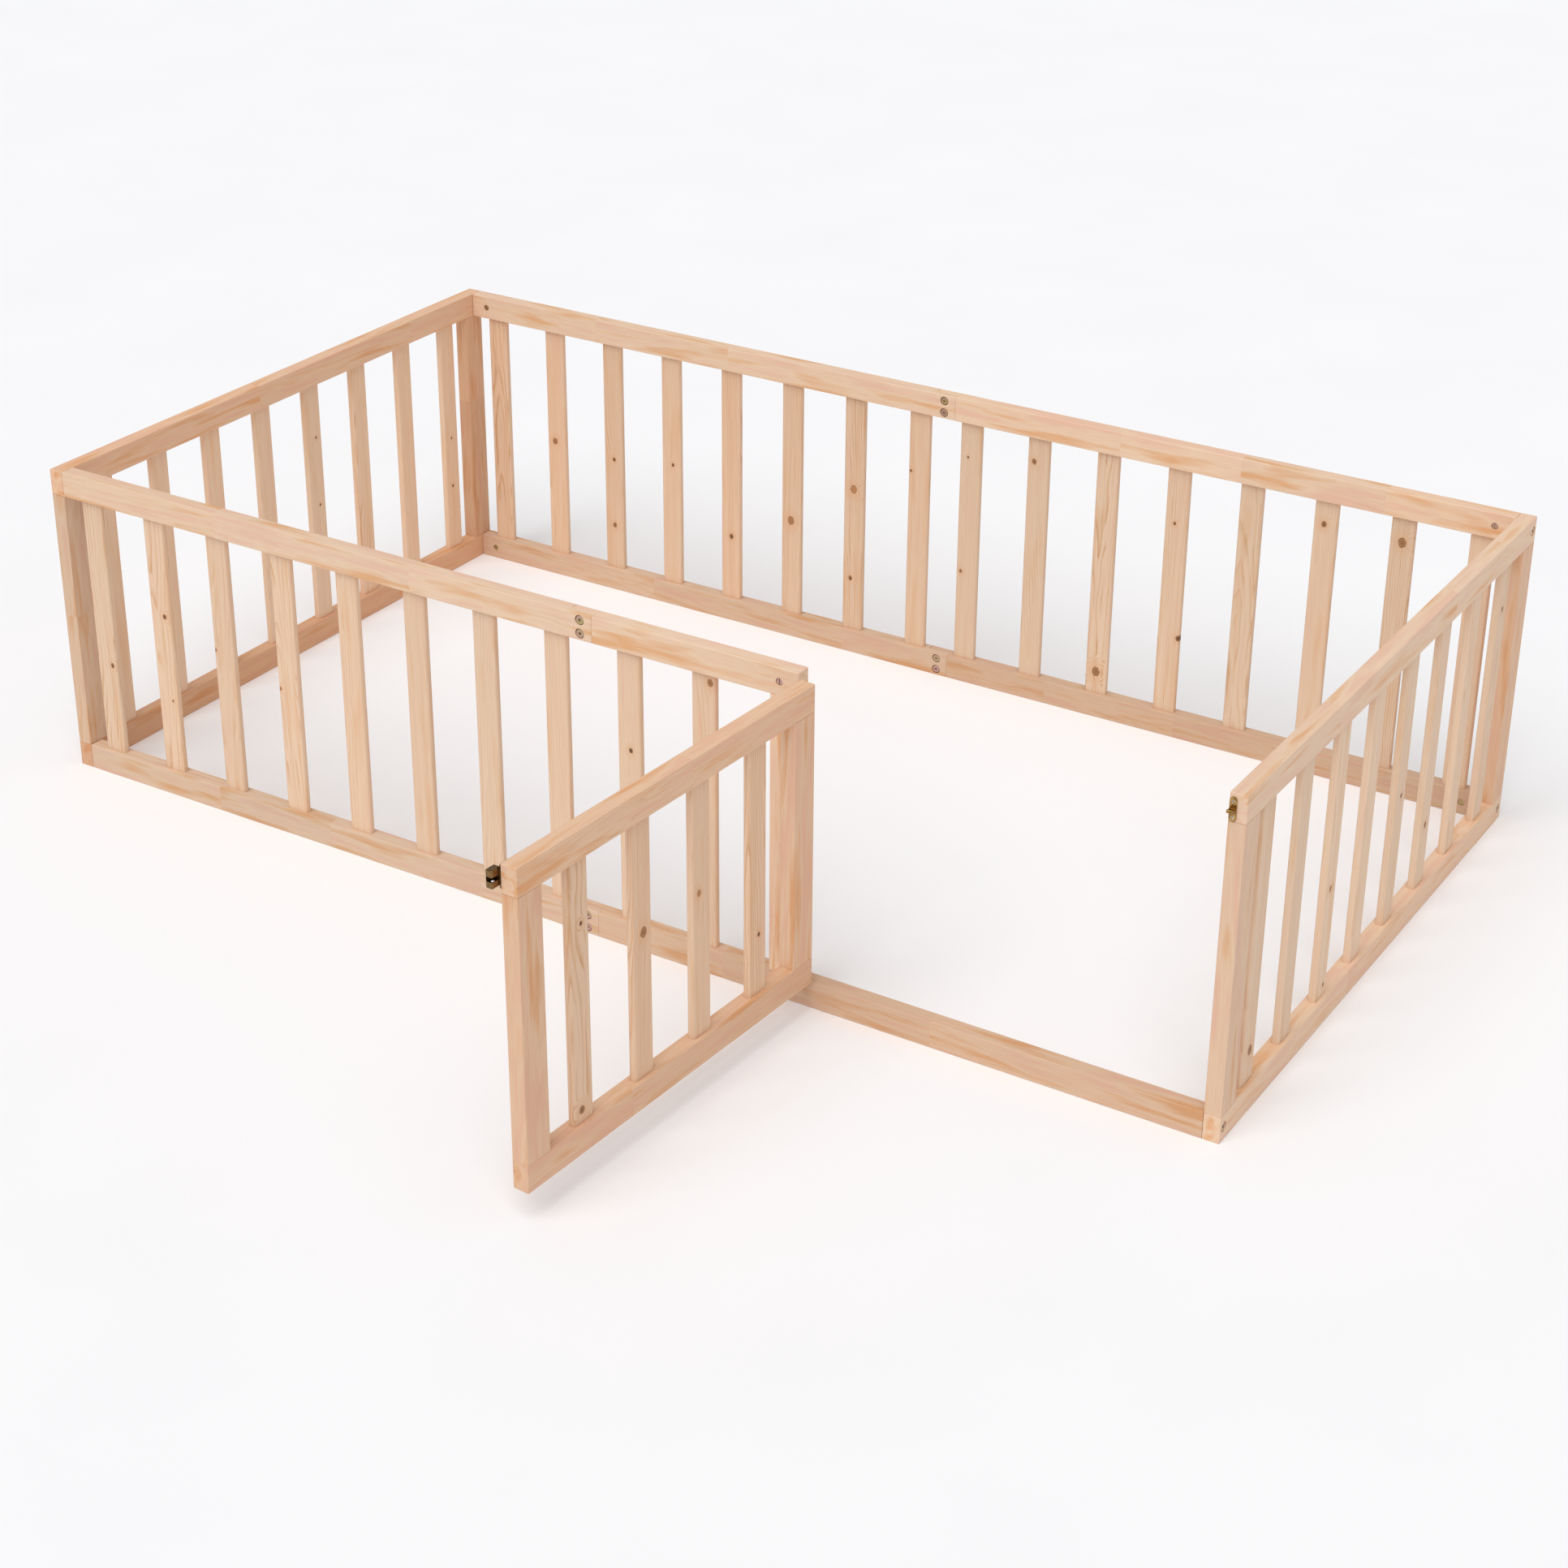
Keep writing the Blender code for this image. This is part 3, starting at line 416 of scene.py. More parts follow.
    # The knot: a tan disc with faint rings of its own, a dark edge and heart, and a warm halo.
    turns = add_node(tree, "ShaderNodeMath", {0: ragged, 1: 15.0}, operation="MULTIPLY")
    waves = add_node(tree, "ShaderNodeMath", {0: turns}, operation="SINE")
    knot_rings = add_node(tree, "ShaderNodeMath", {0: waves, 1: 0.20, 2: 0.45}, operation="MULTIPLY_ADD")
    rim = add_node(tree, "ShaderNodeValToRGB", {0: ragged}, stops=[
        (0.0, 0.0), (0.66, 0.0), (0.84, 0.85), (0.96, 0.60), (1.0, 0.0)])
    rim_share = add_node(tree, "ShaderNodeMath", {0: darkness, 1: 0.60, 2: 0.32}, operation="MULTIPLY_ADD")
    dark_rim = add_node(tree, "ShaderNodeMath", {0: rim, 1: rim_share}, operation="MULTIPLY")
    dark_heart = add_node(tree, "ShaderNodeMath", {0: heart, 1: darkness}, operation="MULTIPLY")
    dark = add_node(tree, "ShaderNodeMath", {0: dark_heart, 1: dark_rim}, operation="MAXIMUM")
    knotted = knot_wood
    for share, over in ((knot_rings, late_wood), (dark, knot_heart)):
        knotted = add_node(
            tree, "ShaderNodeMix", {0: share, 6: knotted, 7: over}, data_type="RGBA").outputs[2]
    halo = add_node(tree, "ShaderNodeMath", {0: near, 1: 0.30}, operation="MULTIPLY")

    # The colours, each laid over the one before by its share, and the whole tinted by the board's warmth.
    warm = add_node(tree, "ShaderNodeMapRange", {0: noise["patch"], 1: 0.52, 2: 0.70, 4: 0.90})
    pink = add_node(tree, "ShaderNodeMapRange", {0: noise["patch"], 1: 0.53, 2: 0.36, 4: 0.90})
    warm = add_node(tree, "ShaderNodeMath", {0: warm, 1: patchiness}, operation="MULTIPLY")
    pink = add_node(tree, "ShaderNodeMath", {0: pink, 1: patchiness}, operation="MULTIPLY")
    wood = early_wood
    for share, over in (
        (pink, pink_wood), (warm, resin_wood), (late, late_wood), (halo, resin_wood), (disc, knotted),
    ):
        wood = add_node(tree, "ShaderNodeMix", {0: share, 6: wood, 7: over}, data_type="RGBA").outputs[2]
    wood = add_node(
        tree, "ShaderNodeMix", {0: warmth, 6: wood, 7: warm_tint}, data_type="RGBA", blend_type="MULTIPLY"
    ).outputs[2]
    streaks = add_node(
        tree, "ShaderNodeMath", {0: noise["fibre"], 1: 0.16, 2: 0.85}, operation="MULTIPLY_ADD")
    # A board's lightness; on the bottom rails it holds painted shade, for the shade near the floor.
    lightness = add_node(tree, "ShaderNodeMath", {0: shade, 1: 0.07, 2: 1.0}, operation="MULTIPLY_ADD")
    lightness = add_node(tree, "ShaderNodeMath", {0: streaks, 1: lightness}, operation="MULTIPLY")

    # Late wood stands a little proud after sanding, and so do the fibres.
    fibre_height = add_node(tree, "ShaderNodeMath", {0: noise["fibre"], 1: 0.65}, operation="MULTIPLY")
    height = add_node(tree, "ShaderNodeMath", {0: late, 1: 0.35, 2: fibre_height}, operation="MULTIPLY_ADD")
    feed(shader, {
        "Base Color": add_node(tree, "ShaderNodeHueSaturation", {"Value": lightness, "Color": wood}),
        "Roughness": add_node(
            tree, "ShaderNodeMapRange", {0: noise["fibre"], 1: 0.3, 2: 0.7, 3: 0.50, 4: 0.64}),
        "Normal": add_node(
            tree, "ShaderNodeBump", {"Strength": 0.35, "Distance": 0.00025, "Height": height}),
        "Specular IOR Level": 0.32,
    })
    return material


def plated_metal(name, first, second, roughness, patch_mm, grit):
    """A plated steel: two tints in patches some millimetres wide, and tumbling scratches in the gloss."""
    material, tree, shader = new_material(name)
    place = add_node(tree, "ShaderNodeTexCoord").outputs["Object"]
    patches = add_node(tree, "ShaderNodeTexNoise", {"Vector": place, "Scale": 1000 / patch_mm, "Detail": 2.0})
    share = add_node(tree, "ShaderNodeMapRange", {0: patches, 1: 0.38, 2: 0.62})
    # Scratches about 0.6 mm apart, coarser than the real ones.
    scratches = add_node(
        tree, "ShaderNodeTexNoise", {"Vector": place, "Scale": 1000 / 0.625, "Detail": 4.0, "Roughness": 0.6})
    tints = {6: (*first, 1.0), 7: (*second, 1.0)}
    gloss = {1: 0.3, 2: 0.7, 3: roughness - 0.08, 4: roughness + 0.10}
    feed(shader, {
        "Base Color": add_node(tree, "ShaderNodeMix", {0: share, **tints}, data_type="RGBA").outputs[2],
        "Roughness": add_node(tree, "ShaderNodeMapRange", {0: scratches, **gloss}),
        "Normal": add_node(
            tree, "ShaderNodeBump", {"Strength": grit, "Distance": 0.00008, "Height": scratches}),
        "Metallic": 1.0,
    })
    return material


def pale_paper():
    """Matt studio paper: near white, faintly mottled, so that the pen stands on something."""
    material, tree, shader = new_material("studio_paper")
    place = add_node(tree, "ShaderNodeTexCoord").outputs["Object"]
    mottle = add_node(tree, "ShaderNodeTexNoise", {"Vector": place, "Scale": 3.0, "Detail": 2.0})
    tints = {6: (*linear("#fbfbfc"), 1.0), 7: (*linear("#f7f7f8"), 1.0)}
    feed(shader, {
        "Base Color": add_node(tree, "ShaderNodeMix", {0: mottle, **tints}, data_type="RGBA").outputs[2],
        "Roughness": 0.9,
        "Specular IOR Level": 0.1,
    })
    return material


def material_named(name):
    """The material of that name, made the first time that it is asked for."""
    colours = bpy.context.scene.playpen_colours
    makers = {
        "sanded_pine": sanded_pine,
        # Yellow chromate over zinc: satin steel with straw and pink clouds.
        "yellow_passivated_zinc": lambda: plated_metal(
            "yellow_passivated_zinc", colours.zinc_gold, colours.zinc_pink, 0.27, 20.0, 0.20),
        # Brass plating on pressed steel: warm and satin, browner in its clouds.
        "brass_plated_steel": lambda: plated_metal(
            "brass_plated_steel", colours.brass, linear("#94703f"), 0.20, 6.0, 0.10),
        # Brass on the catch's housing, darkened to deep brown-gold as painted shade for the shadow that the
        # housing stands in, so the bright balls stand out in it.
        "bronzed_brass": lambda: plated_metal(
            "bronzed_brass", linear("#8a6d46"), linear("#7a6040"), 0.24, 5.0, 0.12),
        # Hardened ball steel: bright and mirror smooth.
        "bearing_steel": lambda: plated_metal(
            "bearing_steel", colours.steel, linear("#c6c6cc"), 0.12, 3.0, 0.03),
        # Bright zinc on wood screws: cool and slightly dull.
        "bright_zinc": lambda: plated_metal(
            "bright_zinc", linear("#d6cbbb"), linear("#a8957c"), 0.16, 2.5, 0.10),
        "studio_paper": pale_paper,
    }
    return bpy.data.materials.get(name) or makers[name]()


# Shapes.


def shut_points(node):
    """A node's vertices, with the door's nodes turned back to where they are when it is shut."""
    turn = Matrix() if BODY[node] == "pen" else TO_SHUT
    return [turn @ vert.co for vert in frame["nodes"][node].data.vertices]


def corners(points):
    """Lowest and highest corner of some points."""
    return tuple(Vector([pick(point[axis] for point in points) for axis in range(3)]) for pick in (min, max))


def shut_box(node):
    return corners(shut_points(node))


def boxes_meet(first, second):
    return all(first[0][a] < second[1][a] and second[0][a] < first[1][a] for a in range(3))


def block(low, high, radius=0.0, segments=3, along=None, end_radius=0.0):
    """A box, its edges rounded: those along one axis by radius and the rest by end_radius, or all of them."""
    mesh = bmesh.new()
    made = bmesh.ops.create_cube(mesh, size=1.0)["verts"]
    bmesh.ops.scale(mesh, vec=high - low, verts=made)
    bmesh.ops.translate(mesh, vec=(low + high) / 2, verts=made)

    def ease(edges, offset, steps):
        if offset:
            bmesh.ops.bevel(
                mesh, geom=edges, offset=offset, segments=steps, profile=0.5, affect="EDGES", material=-1)

    if along is None:
        ease(mesh.edges[:], radius, segments)
        return mesh
    ease([e for e in mesh.edges if abs(e.verts[0].co[along] - e.verts[1].co[along]) > TINY], radius, segments)
    ends = [
        e for e in mesh.edges
        if any(all(abs(v.co[along] - end[along]) < TINY for v in e.verts) for end in (low, high))
    ]
    ease(ends, end_radius, 2)
    return mesh


def spun(profile, place, direction, steps=40):
    """A turned shape. The profile is (radius, height), and its height points in the direction."""
    mesh = bmesh.new()
    verts = [mesh.verts.new((radius, 0.0, height)) for radius, height in profile]
    edges = [mesh.edges.new(pair) for pair in zip(verts, verts[1:])]
    bmesh.ops.spin(
        mesh, geom=verts + edges, cent=(0, 0, 0), axis=(0, 0, 1), angle=math.tau, steps=steps, use_merge=True)
    bmesh.ops.remove_doubles(mesh, verts=mesh.verts, dist=TINY)
    bmesh.ops.recalc_face_normals(mesh, faces=mesh.faces)
    turn = Vector((0, 0, 1)).rotation_difference(Vector(direction)).to_matrix().to_4x4()
    bmesh.ops.transform(mesh, matrix=Matrix.Translation(place) @ turn, verts=mesh.verts)
    return mesh


def rod(radius, foot, direction, length, edge=0.0, steps=40):
    """A straight round bar from its foot, its end edges rounded if asked."""
    side = [(radius, 0), (radius, length)]
    if edge:
        turns = [math.radians(degrees) for degrees in (90, 60, 30, 0)]
        lower = [(radius - edge * (1 - math.cos(turn)), edge * (1 - math.sin(turn))) for turn in turns]
        side = lower + [(out, length - up) for out, up in reversed(lower)]
    return spun([(0, 0), *side, (0, length)], foot, direction, steps)


def as_object(mesh):
    """A temporary object that holds a bmesh, which it frees."""
    data = bpy.data.meshes.new("helper")
    mesh.to_mesh(data)
    mesh.free()
    helper = bpy.data.objects.new("helper", data)
    bpy.context.scene.collection.objects.link(helper)
    return helper


def carved(mesh, cuts=(), joins=(), chamfer=0.0):
    """The shape with others joined to it and cut from it, and a chamfer on the edges that this leaves."""
    work = as_object(mesh)
    helpers = [work]
    for operation, shapes in (("UNION", joins), ("DIFFERENCE", cuts)):
        for shape in shapes:
            helpers.append(as_object(shape))
            step = work.modifiers.new("carve", "BOOLEAN")
            step.operation = operation
            step.object = helpers[-1]
    if chamfer:
        ease = work.modifiers.new("ease", "BEVEL")
        ease.width = chamfer
        ease.segments = 2
        ease.limit_method = "ANGLE"
        ease.angle_limit = CUT_SHARP
    bpy.context.view_layer.update()
    data = bpy.data.meshes.new_from_object(work.evaluated_get(bpy.context.evaluated_depsgraph_get()))
    made = bmesh.new()
    made.from_mesh(data)
    bpy.data.meshes.remove(data)
    for helper in helpers:
        old = helper.data
        bpy.data.objects.remove(helper)
        bpy.data.meshes.remove(old)
    return made


def piece(name, mesh, material, body, nodes=()):
    """Finishes a bmesh as a piece of the playpen: turned if it is the door's, riding on its body."""
    if body != "pen":
        bmesh.ops.transform(mesh, matrix=TO_OPEN, verts=mesh.verts)
    data = bpy.data.meshes.new(name)
    mesh.to_mesh(data)
    mesh.free()
    data.materials.append(material_named(material))
    data.shade_smooth()
    obj = bpy.data.objects.new(name, data)
    bpy.context.scene.collection.objects.link(obj)
    data.set_sharp_from_angle(angle=SHARP)
    even = obj.modifiers.new("even_shading", "WEIGHTED_NORMAL")
    even.keep_sharp = True
    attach(obj, body)
    if nodes:
        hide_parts(*nodes)
    return obj


# Woodwork.


def staves(name, length, jointed):
    """The boards that a member is made of, one after another along it.

    Each has its end, its place in the log, its slope to the grain, how fine and how strong its rings are,
    its lightness and its warmth. A member that isn't jointed is one board.
    """
    timber = bpy.context.scene.playpen_timber
    draw = random.Random(f"{timber.seed} {name}")
    end, found = 0.0, []
    while end < length:
        step = timber.stave * draw.uniform(0.55, 1.35)
        end = end + step if jointed and length - end - step > MEMBER_END else length
        lean = math.radians(draw.uniform(20, 88) * draw.choice((-1, 1)))
        depth = draw.uniform(0.030, 0.080)
        heart = Vector((draw.uniform(0, 40), depth * math.cos(lean), depth * math.sin(lean)))
        slope = (draw.uniform(-0.025, 0.025), draw.uniform(-0.030, 0.030))
        fineness = draw.uniform(1.05, 2.0)
        contrast = draw.uniform(0.10, 0.42) if jointed else draw.uniform(0.28, 0.55)
        # On the bottom rails this lightness holds painted shade, for the shade near the floor.
        shade, warmth = SHADES.get(name) or SLAT_SHADES[name.split("_slat")[0]]
        lightness = shade + draw.uniform(-0.55, 0.55)
        warmth = max(0.0, warmth + draw.uniform(-0.08, 0.08))
        found.append((end, heart, slope, fineness, BOLD_GRAIN.get(name, contrast), lightness, warmth))
    return found


def lay_grain(mesh, name, low, high, along, jointed):
    """Parts the mesh where boards or knots change, and writes what sanded pine reads at each face corner."""
    size = high - low
    across, through = sorted((axis for axis in range(3) if axis != along), key=lambda axis: -size[axis])
    middle = (low + high) / 2
    boards = staves(name, size[along], jointed)
    knots = KNOTS.get(name, [])
    parts = [low[along] + board[0] for board in boards[:-1]]
    parts += [(first[0] + second[0]) / 2 for first, second in zip(knots, knots[1:])]
    normal = Vector([1.0 if axis == along else 0.0 for axis in range(3)])
    for place in parts:
        everything = mesh.verts[:] + mesh.edges[:] + mesh.faces[:]
        bmesh.ops.bisect_plane(mesh, geom=everything, dist=TINY, plane_co=normal * place, plane_no=normal)
    kinds = {"grain": "float_vector", "knot": "float_vector", "tone": "float_vector",
             "warmth": "float", "patchiness": "float"}
    for label, kind in kinds.items():
        getattr(mesh.loops.layers, kind).new(label)
    layers = [getattr(mesh.loops.layers, kind)[label] for label, kind in kinds.items()]
    for face in mesh.faces:
        centre = face.calc_center_median()
        board = next((b for b in boards if centre[along] - low[along] <= b[0]), boards[-1])
        _, heart, slope, fineness, contrast, lightness, warmth = board
        knot = min(knots, key=lambda k: abs(k[0] - centre[along]), default=None)
        for loop in face.loops:
            place = loop.vert.co
            run = place[along] - low[along]
            side = place[across] - middle[across]
            depth = place[through] - middle[through]
            grain = Vector((run, side + slope[0] * run, depth + slope[1] * run)) + heart
            grain.yz = grain.yz * fineness
            from_knot = NO_KNOT
            if knot:
                from_knot = Vector((place[along] - knot[0], side - knot[1] * size[across] / 2, knot[2]))
            tone = Vector((lightness, contrast, knot[3] if knot else 0.0))
            values = (grain, from_knot, tone, warmth, 1.0 if jointed else SLAT_PATCHES)
            for layer, value in zip(layers, values):
                loop[layer] = value


def wood_piece(name, mesh, low, high, along, body, nodes=(), jointed=False):
    lay_grain(mesh, name, low, high, along, jointed)
    return piece(name, mesh, "sanded_pine", body, nodes)


def rails():
    """Every rail: name, its CAD node, and the axis that it lies along with the door shut."""
    found = []
    for end in ("left_end", "right_end"):
        found += [(f"{end}_top_rail", f"{end}_top_rail", 1), (f"{end}_bottom_rail", f"{end}_ladder", 1)]
    for side in ("back_left", "back_right", "front_left"):
        found += [(f"{side}_top_rail", f"{side}_top_rail", 0), (f"{side}_bottom_rail", f"{side}_ladder", 0)]
    for name in ("front_right_top_rail", "front_right_bottom_rail", "door_top_rail", "door_bottom_rail"):
        found.append((name, name, 0))
    return found


def ladder_slats(node, along):
    """The boxes of the slats in a ladder, from the vertices near their tops, in order along its rail."""
    points = sorted(shut_points(node), key=lambda point: point[along])
    top = max(point.z for point in points)
    tops = [point for point in points if point.z > top - RAIL / 2]
    groups = [[tops[0]]]
    for before, point in zip(tops, tops[1:]):
        if point[along] - before[along] > RAIL:
            groups.append([])
        groups[-1].append(point)
    found = []
    for group in groups:
        low, high = corners(group)
        low.z = RAIL - TENON
        found.append((low, high))
    return found


def slats():
    """Every slat: name, its box with the door shut, body, the nodes that it stands for."""
    found = []
    ladders = {"left_end": 1, "right_end": 1, "back_left": 0, "back_right": 0, "front_left": 0}
    for side, along in ladders.items():
        for number, box in enumerate(ladder_slats(f"{side}_ladder", along), 1):
            found.append((f"{side}_slat_{number}", box, "pen", ()))
    loose = [f"front_right_slat_{n}" for n in (1, 2)] + [f"door_slat_{n}" for n in (1, 2, 3, 4)]
    for node in loose:
        found.append((node, shut_box(node), BODY[node], (node,)))
    return found


def stiles():
    """Every stile: its node and the axis that its width lies along."""
    ends = [(f"{end}_{which}_stile", 1) for end in ("left_end", "right_end") for which in ("front", "back")]
    return ends + [("front_door_post", 0), ("door_hinge_stile", 0), ("door_latch_stile", 0)]


def grown(box, by):
    return box[0] - Vector((by, by, by)), box[1] + Vector((by, by, by))


def stile_tenon(box, wide_axis):
    """The box of a stile's tenon, end to end: the stile's own box includes the tenons' length."""
    middle = (box[0] + box[1]) / 2
    half = Vector((STILE_TENON[0] / 2, STILE_TENON[0] / 2, 0))
    half[wide_axis] = STILE_TENON[1] / 2
    low, high = middle - half, middle + half
    low.z, high.z = box[0].z, box[1].z
    return low, high


def lap_cut(name, low, high):
    """The half of a long rail's middle end that its lap joint takes away, or None."""
    left = name.startswith(("back_left", "front_left"))
    if not left and not name.startswith(("back_right", "front_right")):
        return None
    middle = (low.y + high.y) / 2
    start, end = grown((low, high), PAST)
    if left:
        start.x = -high.x - GAP
        start.y = middle - GAP / 2
    else:
        end.x = GAP - low.x
        end.y = middle + GAP / 2
    return block(start, end)


def barrel_outward(node):
    """Which way along Y a barrel nut's slotted end looks: into the pen, or forwards for the spare one."""
    return 1 if "_front_" in node else -1


def bolt_holes():
    """Every hole in the rails: the box of what it holds, and its cutter's profile, place and direction."""
    mouth = [
        (0, PAST), (COUNTERBORE[0], PAST), (COUNTERBORE[0], -COUNTERBORE[1]), (SHANK_HOLE_R, -COUNTERBORE[1])]
    found = []
    for node in frame["nodes"]:
        low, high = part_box(node)
        middle = (low + high) / 2
        if "lap_bolt" in node:
            rail = shut_box("back_left_top_rail" if "back" in node else "front_left_top_rail")
            front = rail[0].y
            depth = rail[1].y - front
            profile = mouth + [
                (SHANK_HOLE_R, NUT_BORE[1] - depth), (NUT_BORE[0], NUT_BORE[1] - depth),
                (NUT_BORE[0], -depth - PAST), (0, -depth - PAST)]
            found.append(((low, high), profile, Vector((0, front, middle.z)), (0, -1, 0)))
        elif "corner_bolt" in node:
            side = math.copysign(1, middle.x)
            depth = high.x - low.x + COUNTERBORE[1]
            profile = mouth + [(SHANK_HOLE_R, -depth), (0, -depth)]
            face = Vector((side * CAD_BOX[1].x, middle.y, middle.z))
            found.append(((low, high), profile, face, (side, 0, 0)))
        elif "barrel_nut" in node:
            outward = barrel_outward(node)
            depth = high.y - low.y + GAP
            profile = [(0, PAST), (BARREL_HOLE_R, PAST), (BARREL_HOLE_R, -depth), (0, -depth)]
            face = Vector((middle.x, high.y if outward > 0 else low.y, middle.z))
            found.append(((low, high), profile, face, (0, outward, 0)))
    return found


def make_rails():
    timber = bpy.context.scene.playpen_timber
    holes = bolt_holes()
    slat_list = slats()
    stile_list = stiles()
    for name, node, along in rails():
        low, high = shut_box(node)
        body = BODY[node]
        if node.endswith("ladder"):
            high.z = low.z + RAIL
        inside = (low, high)
        cuts = []
        for _, box, slat_body, _ in slat_list:
            if slat_body == body and boxes_meet(inside, box):
                cuts.append(block(*grown(box, SEAM), radius=timber.slat_radius, along=2))
        for stile_node, wide_axis in stile_list:
            tenon = stile_tenon(shut_box(stile_node), wide_axis)
            if BODY[stile_node] == body and boxes_meet(inside, tenon):
                cuts.append(block(*grown(tenon, SEAM), radius=TENON_CORNER, segments=1, along=2))
        for box, profile, place, direction in holes:
            if body == "pen" and boxes_meet(inside, box):
                cuts.append(spun(profile, place, direction))
        lap = lap_cut(name, low, high)
        if lap:
            cuts.append(lap)
        mesh = carved(block(low, high, timber.rail_radius), cuts, chamfer=timber.cut_edge)
        wood_piece(name, mesh, low, high, along, body, (node,), jointed=True)


def make_stiles():
    timber = bpy.context.scene.playpen_timber
    for node, wide_axis in stiles():
        low, high = shut_box(node)
        tenon = stile_tenon((low, high), wide_axis)
        low.z += STILE_TENON[2]
        high.z -= STILE_TENON[2]
        bar = block(low, high, timber.rail_radius, 3, 2, timber.cut_edge)
        mesh = carved(bar, joins=[block(*tenon, radius=TENON_CORNER, segments=1, along=2)])
        wood_piece(node, mesh, low, high, 2, BODY[node], (node,), jointed=True)


def make_slats():
    timber = bpy.context.scene.playpen_timber
    for name, (low, high), body, nodes in slats():
        mesh = block(low, high, timber.slat_radius, 5, 2, timber.cut_edge)
        wood_piece(name, mesh, low, high, 2, body, nodes)


# Metalwork.


def hex_socket(place, direction, radius, depth):
    """The cutter of a hexagon socket, with the drill's point below it."""
    return spun([(0, PAST), (radius, PAST), (radius, -depth), (0, -depth - radius / 3)], place, direction, 6)


def bolt_profile(length):
    """A bolt's flat round head with an eased rim, and its shank down to its tip."""
    return [
        (0, 0), (HEAD_R - HEAD_RIM, 0), (HEAD_R - HEAD_RIM * 0.4, -HEAD_RIM * 0.15),
        (HEAD_R - HEAD_RIM * 0.1, -HEAD_RIM * 0.5), (HEAD_R, -HEAD_RIM),
        (HEAD_R, HEAD_RIM / 2 - HEAD_HEIGHT), (HEAD_R - HEAD_RIM / 2, -HEAD_HEIGHT),
        (SHANK_R, -HEAD_HEIGHT), (SHANK_R, HEAD_RIM - length), (SHANK_R - HEAD_RIM, -length), (0, -length),
    ]


def sleeve_nut_profile():
    """A sleeve nut's flat round face with an eased rim, and the bore in its back that takes the bolt."""
    bore = SHANK_R + GAP / 2
    return [
        (0, 0), (NUT_R - NUT_RIM, 0), (NUT_R - NUT_RIM * 0.3, -NUT_RIM * 0.3), (NUT_R, -NUT_RIM),
        (NUT_R, NUT_RIM - NUT_HEIGHT), (NUT_R - NUT_RIM, -NUT_HEIGHT), (bore, -NUT_HEIGHT),
        (bore, -NUT_FLOOR), (0, -NUT_FLOOR),
    ]


def socketed(profile, place, direction, socket):
    """A turned part with a hexagon socket in its face."""
    return carved(
        spun(profile, place, direction), [hex_socket(place, direction, *socket)], chamfer=METAL_EDGE)


def zinc_piece(name, mesh, nodes=()):
    return piece(name, mesh, "yellow_passivated_zinc", "pen", nodes)


def make_bolts():
    for node in frame["nodes"]:
        low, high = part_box(node)
        middle = (low + high) / 2
        if "lap_bolt" in node:
            bolt = bolt_profile(high.y - low.y - NUT_FLOOR - GAP)
            zinc_piece(node, socketed(bolt, Vector((0, low.y, middle.z)), (0, -1, 0), SOCKET), (node,))
            nut = socketed(
                sleeve_nut_profile(), Vector((0, high.y, middle.z)), (0, 1, 0), (SOCKET[0], NUT_FLOOR / 2))
            zinc_piece(node.replace("bolt", "nut"), nut)
        elif "corner_bolt" in node:
            side = math.copysign(1, middle.x)
            head = Vector((high.x if side > 0 else low.x, middle.y, middle.z))
            zinc_piece(node, socketed(bolt_profile(high.x - low.x), head, (side, 0, 0), SOCKET), (node,))


def make_barrel_nuts():
    for node in (n for n in frame["nodes"] if "barrel_nut" in n):
        low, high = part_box(node)
        middle = (low + high) / 2
        outward = barrel_outward(node)
        face = Vector((middle.x, high.y if outward > 0 else low.y, middle.z))
        radius = (high.x - low.x) / 2
        body = rod(radius, face, (0, -outward, 0), high.y - low.y, BARREL_RIM)
        half_slot = Vector((BARREL_SLOT[0] / 2, BARREL_SLOT[1], radius * 2))
        foot = Vector((low.x - PAST, middle.y - outward * GAP, middle.z))
        bore = rod(SHANK_HOLE_R, foot, (1, 0, 0), radius * 2 + 2 * PAST)
        slot = block(face - half_slot, face + half_slot)
        zinc_piece(node, carved(body, [slot, bore], chamfer=METAL_EDGE), (node,))


def make_screw(name, place, direction, body, proud):
    """A small countersunk wood screw with a domed head and a cross recess."""
    dome = [
        (0, proud), (SCREW_R * 0.45, proud * 0.86), (SCREW_R * 0.8, proud * 0.42), (SCREW_R, 0.0),
        (SCREW_R * 0.55, -PLATE_THICK), (0, -PLATE_THICK)]
    place = Vector(place)
    direction = Vector(direction)
    upwards = Vector((0, 0, 1))
    sideways = direction.cross(upwards)
    crown = place + direction * proud
    cuts = []
    for axes in ((upwards, sideways, direction), (sideways, upwards, direction)):
        reach = Vector([sum(abs(axis[i]) * half for axis, half in zip(axes, RECESS)) for i in range(3)])
        cuts.append(block(crown - reach, crown + reach))
    return piece(name, carved(spun(dome, place, direction, 24), cuts), "bright_zinc", body)


